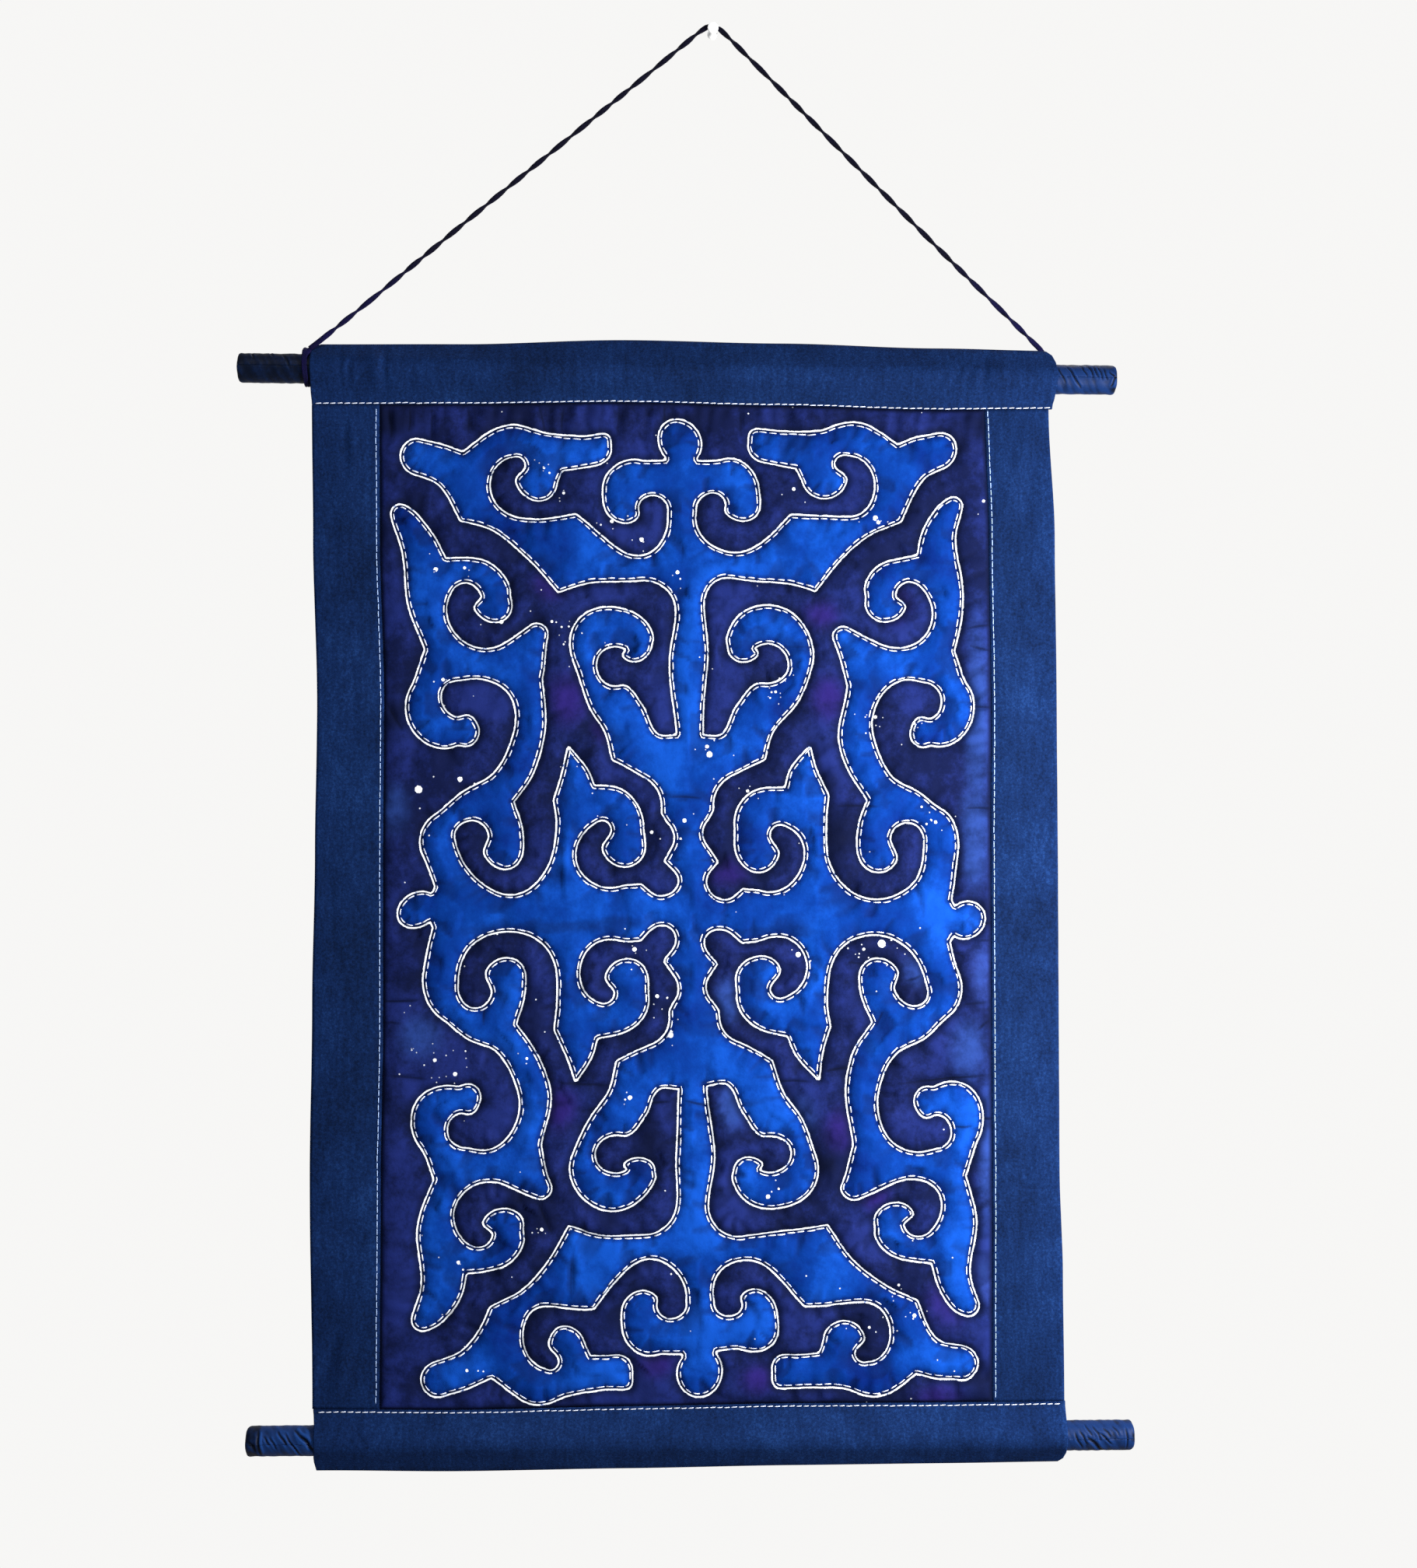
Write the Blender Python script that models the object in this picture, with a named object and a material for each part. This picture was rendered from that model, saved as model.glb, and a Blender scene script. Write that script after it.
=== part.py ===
"""Quilted wall hanging on two cloth-wrapped rods, with its hanging cord and wall pin.

Metres, +Z up. The origin is the centre of the wall pin's back face, on the wall. +X is to the right
and -Y is towards the viewer. The cloth hangs in front of the wall, its middle plane at CLOTH_Y.
The ornament is a fourfold ram's-horn scroll, drawn here from arcs, corners and passing points.
"""

import math

import bmesh
import bpy
import numpy as np
from mathutils import Matrix, Vector
from mathutils.geometry import delaunay_2d_cdt

MM = 0.001
GAP = 0.3 * MM

# Where the cloth hangs, from the pin
CLOTH_X = -18 * MM
CLOTH_Y = -15 * MM
CLOTH_TOP_Z = -196 * MM

# Cloth
PANEL_WIDTH = 368 * MM
PANEL_HEIGHT = 603.6 * MM
BORDER_WIDTH = 40 * MM
TOP_SLEEVE_HEIGHT = 36 * MM
BOTTOM_SLEEVE_HEIGHT = 35.5 * MM
SLEEVE_LENGTH = 452 * MM
SLEEVE_WALL = 1.2 * MM
BOTTOM_SLEEVE_SHIFT = 2.7 * MM
SEAM_THICKNESS = 2.2 * MM
SLEEVE_ARC_STEPS = 4
BORDER_CROWN = 0.4 * MM
QUILT_PUFF = 2.8 * MM
QUILT_SOFTNESS = 3.2 * MM
QUILT_LINE_STEP = 7.8
QUILT_FLANK = 4 * MM
QUILT_FIELD_STEP = 12 * MM
QUILT_ROW_SHARE = 0.87
# How near the relief's points come to the lines and to each other, in flanks
FLANK_CLEAR = 0.85
FIELD_CLEAR = 2
POINT_CLEAR = 1.2
PANEL_BACK_STEP = 60 * MM
PANEL_BACK_MARGIN = 20 * MM
RIM_COLUMNS = 20
RIM_ROWS = 30
BORDER_ROWS = 25
BORDER_COLUMNS = 5
SLEEVE_COLUMNS = 15
SLEEVE_END_REACH = 12 * MM
SWAY = 1.2 * MM
SWAY_STEADY = 0.6
SWAY_WAVES = 1.2
SWAY_PHASE = 0.7
SWAY_CURL = 1.4

# Rods
ROD_LENGTH = 531.5 * MM
ROD_RADIUS = 8.75 * MM
ROD_RIPPLE = 0.28 * MM
ROD_RIPPLE_TURN = 260
ROD_SIDES = 16
ROD_END_ROWS = (
    # distance in from the end, radius lost (mm)
    (0, 1.9),
    (0.8, 0.8),
    (2.6, 0.15),
    (9, 0),
    (17, 0),
    (26, 0),
    (34, 0),
)
ROD_SMOOTH_FROM = 30 * MM
TOP_ROD_SHIFT = -3 * MM
BOTTOM_ROD_SHIFT = 3.5 * MM
TOP_ROD_TILT = math.radians(0.6)
TOP_ROD_RAISE = 0.7 * MM
BOTTOM_ROD_TILT = math.radians(0.18)
BOTTOM_ROD_DROP = 1.55 * MM

# Cord and pin
CORD_WIDTH = 3.3 * MM
CORD_THICKNESS = 1.1 * MM
CORD_FLAT_SHARE = 0.6
CORD_HALF_TURN = 15 * MM
CORD_FLAT_AT_PIN = 4 * MM
CORD_FLAT_AT_END = 9 * MM
TIE_WIDTH = 3.4 * MM
TIE_THICKNESS = 1.3 * MM
TIE_KNOT = 2.7 * MM
TIE_NUB = 0.9 * MM
TIE_STEPS = 28
TIE_OUT = 2.4 * MM
TIE_LEAN = 0.5 * MM
TIE_KNOT_ANGLE = math.radians(112)
TIE_KNOT_SPREAD = math.radians(24)
TIE_NUB_ANGLE = math.radians(-95)
TIE_NUB_SPREAD = math.radians(16)
TIE_KNOT_WIDER = 0.15
# The tie's section: share of the half width, share of the thickness
TIE_SECTION = ((-0.8, 0), (0.8, 0), (1, 0.5), (0.62, 1), (-0.62, 1), (-1, 0.5))
KNOT_RADII = (2.5 * MM, 2.2 * MM, 2.4 * MM)
KNOT_RIDGES = 4
KNOT_RIDGE = 0.07
PIN_SIDES = 20
PIN_PROFILE = (
    # distance from the wall, radius (mm)
    (0.0, 2.9),
    (0.4, 3.2),
    (1.4, 3.2),
    (2.2, 2.8),
    (4.2, 1.8),
    (9.2, 1.8),
    (10.3, 2.9),
    (11.2, 3.3),
    (12.3, 3.25),
    (12.9, 2.6),
    (13.1, 1.3),
)

PANEL_TOP_Z = CLOTH_TOP_Z - TOP_SLEEVE_HEIGHT
PANEL_BOTTOM_Z = PANEL_TOP_Z - PANEL_HEIGHT
PANEL_CENTRE_Z = (PANEL_TOP_Z + PANEL_BOTTOM_Z) / 2
HALF_PANEL = PANEL_WIDTH / 2
HALF_CLOTH = HALF_PANEL + BORDER_WIDTH

# How uneven the cut and sewn edges are: (share of the way, millimetres). Across edges run from the
# left end and are raised by the millimetres, and down edges run from the top and are moved right.
WAVES = {
    "top edge": ((0, 0), (0.2, 0.4), (0.42, 3.3), (0.63, 1.6), (0.84, -1), (1, -2.3)),
    "top seam": ((0, -0.9), (0.2, -0.4), (0.42, 1), (0.63, -0.8), (0.84, -3), (1, -2.3)),
    "bottom seam": ((0, 0.5), (0.2, -0.7), (0.42, 0.5), (0.63, 1.3), (0.84, 0.9), (1, 1)),
    "bottom edge": ((0, -0.9), (0.2, -2.2), (0.42, -1.5), (0.63, -0.7), (0.84, -0.5), (1, -0.1)),
    "left edge": ((0, -0.8), (0.13, 0), (0.3, 2.5), (0.45, 1.3), (0.6, -0.2), (0.77, -1.4), (1, 0.5)),
    "right edge": ((0, -2.2), (0.13, 1.2), (0.3, 1.9), (0.45, 2.1), (0.77, 2), (0.87, 3.6), (1, 4)),
    "left seam": ((0, 0), (0.13, 0.3), (0.3, 2.9), (0.45, 2.4), (0.62, 2.5), (0.77, 1.2), (1, 0.6)),
    "right seam": ((0, -1.5), (0.13, 0.6), (0.3, 1.6), (0.45, 0.9), (0.77, 0.8), (1, 0.2)),
}

# A sleeve's section where it is sewn flat: height from the seam and depth (mm)
SEAM_OUTSIDE = ((0, 1.1), (2.5, 1.1))
SEAM_INSIDE = ((5, 0.25), (6, 0.7))

# A sleeve's section where it folds over: distance in from the fold and depth (mm)
FOLD_OUTSIDE = ((0.8, 1.2), (0, 0))
FOLD_INSIDE = ((2.6, 0.7), (2.2, 0))

# How far a sleeve's end draws in: (share of the way from its seam to its fold, millimetres)
SLEEVE_ENDS = {
    "top left": ((0, 1.2), (0.15, 0.9), (0.5, 1.2), (0.86, 1.2), (0.93, 2.2), (1, 6.5)),
    "top right": ((0, 2), (0.2, 0.8), (0.5, 0), (0.75, 0.5), (0.88, 1.8), (0.95, 3.6), (1, 6.5)),
    "bottom left": ((0, 0.3), (0.25, 1.4), (0.5, 2), (0.8, 1.4), (1, 2.2)),
    "bottom right": ((0, 0.2), (0.3, 0.3), (0.5, 0.4), (0.8, 0.8), (0.92, 2), (1, 4.8)),
}

ARC_TURN = math.radians(48)
ARC = "arc"
CORNER = "corner"
PASS = "pass"

# A quarter of the ornament, from the top knob round to the bar's knob, with the figure on the
# right hand. u runs out from the stem and v up from the bar, in millimetres. An arc has its
# centre, radius, and start and end angles; a corner is sharp; a pass is a smooth point between.
QUARTER = (
    ("top knob", ARC, 0, 284, 13, 90, -45),
    ("knob neck", CORNER, 9.5, 272),
    ("crossbar horn, back", ARC, 29, 254.5, 17, 100, 5),
    ("crossbar horn, end", ARC, 35, 246, 11, -5, -140),
    ("crossbar inlet, head", ARC, 17, 243, 9.5, 10, 165),
    ("crossbar inlet, round", ARC, 30, 237.5, 22.5, 175, 300),
    ("crossbar inlet, mouth", CORNER, 65, 240),
    ("wing inlet, round", ARC, 98.5, 257, 18.5, -85, 80),
    ("wing inlet, head", ARC, 97.5, 270.5, 5.5, 95, 190),
    ("wing lobe", ARC, 87, 263, 12.5, -15, -165),
    ("wing lobe, root", CORNER, 71, 269),
    ("wing tail, under", PASS, 60, 270),
    ("wing tail, end", ARC, 51, 279, 8, -110, -190),
    ("wing tail, tip", ARC, 47.5, 285, 4, -190, -270),
    ("wing tail, top", PASS, 62, 288.5),
    ("wing crest", ARC, 101, 268, 26, 112, 62),
    ("wing notch", CORNER, 131, 280),
    ("wing end, neck", PASS, 143, 284.5),
    ("wing end", ARC, 159, 277, 10, 100, -75),
    ("wing heel", PASS, 146, 261),
    ("wing heel, foot", CORNER, 133, 238),
    ("wing underside", PASS, 112, 230),
    ("wing underside, low", PASS, 93, 214),
    ("wing corner", CORNER, 78, 193),
    ("heart inlet, brow", PASS, 60, 198.5),
    ("heart inlet, round", ARC, 29, 181, 20.5, 85, 178),
    ("stem waist", PASS, 11, 150),
    ("heart inlet, foot", CORNER, 7.5, 106),
    ("heart inlet, sole", PASS, 21, 106),
    ("heart inlet, ankle", PASS, 31, 123),
    ("heart inlet, head", ARC, 46.5, 148.5, 13, -100, 125),
    ("heart horn, end", ARC, 33.5, 160.5, 9.5, -40, -175),
    ("heart horn, back", ARC, 48, 158.5, 25.5, 165, -20),
    ("heart horn, root", PASS, 63, 126),
    ("heart horn, heel", PASS, 51, 108),
    ("heart horn, corner", CORNER, 45, 91),
    ("stem shoulder", ARC, 32, 65, 17.5, 115, 178),
    ("stem step", CORNER, 14.5, 60),
    ("stem bulge", ARC, 20.5, 46, 12.5, 140, 215),
    ("stem notch", CORNER, 15.5, 31),
    ("cross inlet, foot", ARC, 17, 18, 9.5, 165, 290),
    ("cross notch", CORNER, 30, 17),
    ("cross inlet, round", ARC, 48.5, 35, 20.5, -110, 60),
    ("cross inlet, head", ARC, 53, 49, 6, 80, 195),
    ("spear lobe", ARC, 40.5, 41, 12.5, -20, -175),
    ("spear back", ARC, 48, 54, 20, 185, 105),
    ("spear, inner root", CORNER, 57, 75),
    ("spear, inner edge", PASS, 61, 86),
    ("spear tip", CORNER, 72, 100),
    ("spear, outer edge", PASS, 75.5, 86),
    ("spear, outer root", CORNER, 82, 69),
    ("bar inlet, wall", PASS, 80, 55),
    ("bar inlet, round", ARC, 111.5, 41.5, 31, 190, 315),
    ("bar inlet, head", ARC, 130.5, 44.5, 11.5, -5, 165),
    ("column lobe, low", ARC, 112, 39.5, 12, -30, -170),
    ("column lobe, back", PASS, 101, 52),
    ("column notch, low", CORNER, 107, 67),
    ("column, inner edge low", PASS, 94, 87),
    ("column, inner edge", PASS, 87.5, 110),
    ("column notch, high", CORNER, 92, 139),
    ("column horn, tip", ARC, 93.5, 167, 6, 200, 60),
    ("side inlet, round", ARC, 124.5, 181, 22, -120, 40),
    ("side inlet, head", ARC, 132.5, 190, 9.5, 70, 170),
    ("side lobe, end", ARC, 118, 188, 11.5, -25, -190),
    ("side lobe, back", ARC, 126, 193, 20, 165, 100),
    ("side lobe, root", CORNER, 143, 214),
    ("side spear, inner edge", PASS, 149, 229),
    ("side spear, neck", PASS, 159, 243),
    ("side spear, tip", ARC, 168, 242.5, 5.5, 115, -10),
    ("side spear, outer edge", PASS, 168.5, 222),
    ("column, outer edge high", PASS, 167.5, 190),
    ("column waist", CORNER, 157, 158),
    ("middle curl, back", ARC, 149, 123, 21.5, 35, -110),
    ("middle curl, end", ARC, 136, 110, 8, -95, -200),
    ("middle inlet, lip", PASS, 133, 119),
    ("middle inlet, head", ARC, 138.5, 129.5, 11.5, -75, 85),
    ("middle inlet, round", ARC, 131.5, 115, 27.5, 100, 200),
    ("column foot, inner", PASS, 118.5, 83),
    ("column foot, top", PASS, 136, 73),
    ("column foot, outer", ARC, 141, 42, 21.5, 60, -15),
    ("bar neck", CORNER, 156, 12),
    ("bar knob", ARC, 166, 0, 10.5, 130, 0),
)

# The drawing by hand isn't quite regular. Each row pulls the outline round one place:
# place x and z, reach, and shift in x and z (mm, from the ornament's centre)
PULLS = (
    ("upper left heart", -45, 165, 60, 5, 0),
    ("upper left column", -125, 140, 60, 3, 2),
    ("upper right column", 125, 130, 65, 8, -6),
    ("upper right wing", 110, 240, 45, 2, -4),
    ("upper right spear", 168, 240, 30, -5, -2),
    ("left bar end", -150, 0, 40, 3, 5),
    ("right bar end", 150, 0, 55, 0, -10),
    ("right cross inlet", 45, 20, 40, 2, -5),
    ("lower right column", 130, -125, 60, 6, -9),
    ("lower left heart", -45, -185, 50, -2, 6),
    ("lower right heart", 45, -185, 50, -3, 4),
    ("lower crossbar", 0, -265, 50, 0, 8),
    ("lower left wing", -115, -255, 50, 9, 4),
    ("lower right spear", 165, -240, 35, -7, 0),
)
ORNAMENT_TURN = math.radians(1.2)
ORNAMENT_CENTRE = (3 * MM, -4.5 * MM)
# A slow waver in the hand's line: axis that it moves, waves along x, waves along z, phase
WOBBLE = 1.1 * MM
WOBBLE_LENGTH = 83 * MM
WOBBLE_ROWS = ((0, 0.6, 1, 0.4), (1, 1.15, -0.5, 2.1))

# The cord's route, from its tie on the top rod's left end, over the pin, to its knot behind the
# top sleeve's right end
CORD_ROUTE = (
    (-0.2434, -0.0200, -0.1998),
    (-0.2405, -0.0198, -0.1975),
    (-0.2360, -0.0195, -0.1938),
    (-0.2050, -0.0180, -0.1680),
    (-0.1500, -0.0153, -0.1210),
    (-0.0930, -0.0126, -0.0730),
    (-0.0370, -0.0100, -0.0260),
    (-0.0170, -0.0090, -0.0090),
    (-0.0080, -0.0085, -0.0014),
    (-0.0030, -0.0082, 0.0019),
    (0.0000, -0.0082, 0.0027),
    (0.0028, -0.0082, 0.0015),
    (0.0075, -0.0082, -0.0026),
    (0.0255, -0.0082, -0.0205),
    (0.0830, -0.0082, -0.0785),
    (0.1400, -0.0082, -0.1359),
    (0.1780, -0.0082, -0.1734),
    (0.1960, -0.0081, -0.1914),
    (0.2011, -0.0078, -0.1967),
    (0.2032, -0.0074, -0.2011),
)
CORD_PIN_POINT = 10
CORD_STEPS_LEFT = 96
CORD_STEPS_AT_PIN = 18
CORD_STEPS_RIGHT = 88
CORD_PIN_ZONE = 12 * MM
ROUTE_STEPS = 60
KNOT_CENTRE = (0.2036, -0.0072, -0.2040)


def between(rows, share):
    """The value of a table of (share, value) rows, eased from one row to the next."""
    for (low, before), (high, after) in zip(rows, rows[1:]):
        if share <= high:
            part = min(1.0, max(0.0, (share - low) / (high - low)))
            part = part * part * (3 - 2 * part)
            return before + (after - before) * part
    return rows[-1][1]


def across(name, x):
    """How far an edge that runs across the cloth is raised at x, from the cloth's centre."""
    return between(WAVES[name], x / SLEEVE_LENGTH + 0.5) * MM


def down(name, z):
    """How far an edge that runs down the cloth is moved right at height z."""
    return between(WAVES[name], (PANEL_TOP_Z - z) / PANEL_HEIGHT) * MM


def sway(x, z):
    """How far the hanging cloth stands towards the viewer: nothing at the sleeves."""
    share = min(1.0, max(0.0, (PANEL_TOP_Z - z) / PANEL_HEIGHT))
    wave = math.cos(2 * math.pi * SWAY_WAVES * x / PANEL_WIDTH + SWAY_PHASE)
    curl = SWAY_CURL * (x / HALF_CLOTH) ** 4
    return SWAY * math.sin(math.pi * share) * (SWAY_STEADY + (1 - SWAY_STEADY) * wave - curl)


# Ornament


def arc_points(row, step):
    """Points along an arc row, with the headings at its two ends."""
    _, _, u, v, radius, start, end = row
    turn = math.radians(abs(end - start))
    count = max(2, math.ceil(turn * radius / step), math.ceil(turn / ARC_TURN))
    angles = np.radians(np.linspace(start, end, count + 1))
    points = np.column_stack((u + radius * np.cos(angles), v + radius * np.sin(angles)))
    sign = 1 if end > start else -1
    headings = sign * np.column_stack((-np.sin(angles), np.cos(angles)))
    return points, headings[0], headings[-1]


def heading(rows, parts, index, leaving):
    """The direction of the outline as it leaves or reaches a row's points."""
    points, first, last = parts[index]
    if rows[index][1] == ARC:
        return last if leaving else first
    if rows[index][1] == PASS:
        toward = parts[index + 1][0][0] - parts[index - 1][0][-1]
    elif leaving:
        toward = parts[index + 1][0][0] - points[-1]
    else:
        toward = points[0] - parts[index - 1][0][-1]
    return toward / np.hypot(*toward)


def quarter_outline(step):
    """The quarter's outline in millimetres, as an array of (u, v), with a point every step or so."""
    parts = []
    for row in QUARTER:
        if row[1] == ARC:
            parts.append(arc_points(row, step))
        else:
            parts.append((np.array([row[2:4]], float), None, None))
    outline = []
    for index, (points, _, _) in enumerate(parts):
        outline.extend(points)
        if index + 1 == len(parts):
            break
        here, there = points[-1], parts[index + 1][0][0]
        length = np.hypot(*(there - here))
        leave = length * heading(QUARTER, parts, index, True)
        reach = length * heading(QUARTER, parts, index + 1, False)
        count = math.ceil(length / step)
        for t in np.arange(1, count) / count:
            outline.append(
                (2 * t**3 - 3 * t**2 + 1) * here
                + (t**3 - 2 * t**2 + t) * leave
                + (3 * t**2 - 2 * t**3) * there
                + (t**3 - t**2) * reach
            )
    return np.array(outline)


def hand_drawn(points):
    """The regular outline pulled out of true, turned and put in its place on the panel, in metres."""
    moved = points.copy()
    for _, x, z, reach, shift_x, shift_z in PULLS:
        weight = np.exp(-((points[:, 0] - x) ** 2 + (points[:, 1] - z) ** 2) / reach**2)
        moved += weight[:, None] * np.array([shift_x, shift_z])
    moved *= MM
    phase = 2 * math.pi * moved / WOBBLE_LENGTH
    for axis, along_x, along_z, start in WOBBLE_ROWS:
        moved[:, axis] += WOBBLE * np.sin(along_x * phase[:, 0] + along_z * phase[:, 1] + start)
    cos, sin = math.cos(ORNAMENT_TURN), math.sin(ORNAMENT_TURN)
    x = ORNAMENT_CENTRE[0] + cos * moved[:, 0] - sin * moved[:, 1]
    z = ORNAMENT_CENTRE[1] + sin * moved[:, 0] + cos * moved[:, 1]
    return np.column_stack((x + CLOTH_X, z + PANEL_CENTRE_Z))


def ornament_outline(step):
    """The whole ornament's outline as one closed loop of (x, z), clockwise from the top knob."""
    quarter = quarter_outline(step)
    lower = (quarter * (1, -1))[::-1][1:]
    left_lower = (quarter * (-1, -1))[1:]
    left_upper = (quarter * (-1, 1))[::-1][1:-1]
    return hand_drawn(np.concatenate((quarter, lower, left_lower, left_upper)))


# Mesh helpers


def material(name, colour, roughness):
    """A plain Principled material."""
    made = bpy.data.materials.new(name)
    made.use_nodes = True
    shader = made.node_tree.nodes["Principled BSDF"]
    shader.inputs["Base Color"].default_value = (*colour, 1)
    shader.inputs["Roughness"].default_value = roughness
    return made


def finish(name, bm, made_of, sharp_angle=50):
    """Turns a bmesh into a named object with its normals facing out."""
    bmesh.ops.recalc_face_normals(bm, faces=bm.faces)
    mesh = bpy.data.meshes.new(name)
    bm.to_mesh(mesh)
    bm.free()
    mesh.shade_smooth()
    mesh.set_sharp_from_angle(angle=math.radians(sharp_angle))
    mesh.materials.append(made_of)
    made = bpy.data.objects.new(name, mesh)
    bpy.context.scene.collection.objects.link(made)
    return made


def bridge(bm, ring, following, closed=True):
    """Quads between two rows of vertices."""
    count = len(ring) if closed else len(ring) - 1
    for index in range(count):
        after = (index + 1) % len(ring)
        bm.faces.new((ring[index], ring[after], following[after], following[index]))


def loft(bm, rings):
    """A closed tube through the rings of points, capped at both ends."""
    rows = [[bm.verts.new(point) for point in ring] for ring in rings]
    for ring, following in zip(rows, rows[1:]):
        bridge(bm, ring, following)
    bm.faces.new(rows[0])
    bm.faces.new(rows[-1])


def slab(bm, rows, columns, place):
    """A closed sheet: place gives a point for each row, column and side, 1 towards the viewer."""
    front = [[bm.verts.new(place(r, c, 1)) for c in range(columns)] for r in range(rows)]
    back = [[bm.verts.new(place(r, c, -1)) for c in range(columns)] for r in range(rows)]
    for grid in (front, back):
        for row, following in zip(grid, grid[1:]):
            bridge(bm, row, following, closed=False)
    rims = []
    for grid in (front, back):
        left = [row[0] for row in reversed(grid[1:])]
        right = [row[-1] for row in grid[1:-1]]
        rims.append(grid[0] + right + grid[-1][::-1] + left[1:])
    bridge(bm, *rims)


# Quilted panel


def panel_rim():
    """The panel's cut edge as a closed loop of (x, z), anticlockwise from its lower left corner."""
    sides = np.linspace(PANEL_BOTTOM_Z, PANEL_TOP_Z, RIM_ROWS + 1)[1:-1]
    shares = np.linspace(0, 1, RIM_COLUMNS + 1)
    rims = []
    for seam, seam_z in (("bottom seam", PANEL_BOTTOM_Z), ("top seam", PANEL_TOP_Z)):
        left = -HALF_PANEL + down("left seam", seam_z)
        right = HALF_PANEL + down("right seam", seam_z)
        xs = left + (right - left) * shares
        rims.append([(x, seam_z + across(seam, x)) for x in xs])
    bottom, top = rims
    rim = bottom + [(HALF_PANEL + down("right seam", z), z) for z in sides]
    rim += top[::-1] + [(-HALF_PANEL + down("left seam", z), z) for z in sides[::-1]]
    return np.array(rim) + (CLOTH_X, 0)


def distance_to_loops(points, loops):
    """The distance from each point to the nearest of the closed loops."""
    nearest = np.full(len(points), np.inf)
    for loop in loops:
        for start, end in zip(loop, np.roll(loop, -1, axis=0)):
            along = end - start
            part = (points - start) @ along / max(along @ along, 1e-18)
            gap = points - start - np.clip(part, 0, 1)[:, None] * along
            nearest = np.minimum(nearest, np.hypot(gap[:, 0], gap[:, 1]))
    return nearest


def field_points(rim, spacing, margin):
    """A staggered grid of points that keeps a margin inside the rim."""
    low, high = rim.min(axis=0), rim.max(axis=0)
    rows = []
    for index, z in enumerate(np.arange(low[1], high[1], spacing * QUILT_ROW_SHARE)):
        x = np.arange(low[0] + spacing * (index % 2) / 2, high[0], spacing)
        rows.append(np.column_stack((x, np.full(len(x), z))))
    grid = np.concatenate(rows)
    inside = (grid > low + margin).all(axis=1) & (grid < high - margin).all(axis=1)
    return grid[inside]


def flank_points(loop, offset):
    """Points on both sides of a closed loop, one for each of its points and sides."""
    along = np.roll(loop, -1, axis=0) - np.roll(loop, 1, axis=0)
    normal = np.column_stack((-along[:, 1], along[:, 0]))
    normal /= np.hypot(normal[:, 0], normal[:, 1])[:, None]
    return np.concatenate((loop + offset * normal, loop - offset * normal))


def well_spaced(candidates, spacing):
    """The candidates in order, without those nearer than spacing to one already kept."""
    kept = np.full((len(candidates), 2), np.inf)
    count = 0
    for candidate in candidates:
        gap = kept[:count] - candidate
        if not count or (gap * gap).sum(axis=1).min() > spacing**2:
            kept[count] = candidate
            count += 1
    return kept[:count]


def puff_points(rim, outline):
    """Points for the quilt's relief: a row along each side of every stitched line, then the field."""
    flanks = np.concatenate((flank_points(outline, QUILT_FLANK), flank_points(rim, QUILT_FLANK)))
    low, high = rim.min(axis=0) + QUILT_FLANK / 2, rim.max(axis=0) - QUILT_FLANK / 2
    flanks = flanks[((flanks > low) & (flanks < high)).all(axis=1)]
    flanks = flanks[distance_to_loops(flanks, (rim, outline)) > FLANK_CLEAR * QUILT_FLANK]
    field = field_points(rim, QUILT_FIELD_STEP, QUILT_FLANK)
    field = field[distance_to_loops(field, (rim, outline)) > FIELD_CLEAR * QUILT_FLANK]
    return well_spaced(np.concatenate((flanks, field)), POINT_CLEAR * QUILT_FLANK)


def triangulated(rim, loops, points):
    """Triangles inside the rim, with the rim and loops as edges: the places and the faces."""
    places = [rim, *loops, points]
    starts = np.cumsum([0] + [len(place) for place in places])
    edges = []
    for start, place in zip(starts, [rim, *loops]):
        count = len(place)
        edges += [(start + index, start + (index + 1) % count) for index in range(count)]
    flat = [Vector(place) for place in np.concatenate(places)]
    edges = [(int(a), int(b)) for a, b in edges]
    found, _, faces, origins, _, _ = delaunay_2d_cdt(flat, edges, [], 1, 1e-7)
    return np.array([tuple(place) for place in found]), faces, origins


def quilted_panel(made_of):
    """The batik panel: valleys along the stitched outline and the seams, soft puffs between."""
    rim = panel_rim()
    outline = ornament_outline(QUILT_LINE_STEP)
    puffs = puff_points(rim, outline)
    coarse = field_points(rim, PANEL_BACK_STEP, PANEL_BACK_MARGIN)
    bm = bmesh.new()
    edge_verts = {}
    for side, loops, points, puff in ((1, (outline,), puffs, QUILT_PUFF), (-1, (), coarse, 0)):
        places, faces, origins = triangulated(rim, loops, points)
        rise = puff * (1 - np.exp(-distance_to_loops(places, (rim, *loops)) / QUILT_SOFTNESS))
        verts = []
        for (x, z), up in zip(places, rise):
            y = CLOTH_Y - sway(x - CLOTH_X, z) - side * (SEAM_THICKNESS / 2 + up)
            verts.append(bm.verts.new((x, y, z)))
        for face in faces:
            bm.faces.new([verts[index] for index in face])
        for index, origin in enumerate(origins):
            for source in origin:
                if source < len(rim):
                    edge_verts[side, source] = verts[index]
    front = [edge_verts[1, index] for index in range(len(rim))]
    back = [edge_verts[-1, index] for index in range(len(rim))]
    bridge(bm, front, back)
    return finish("quilted_panel", bm, made_of, 180)


# Plain cloth


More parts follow.
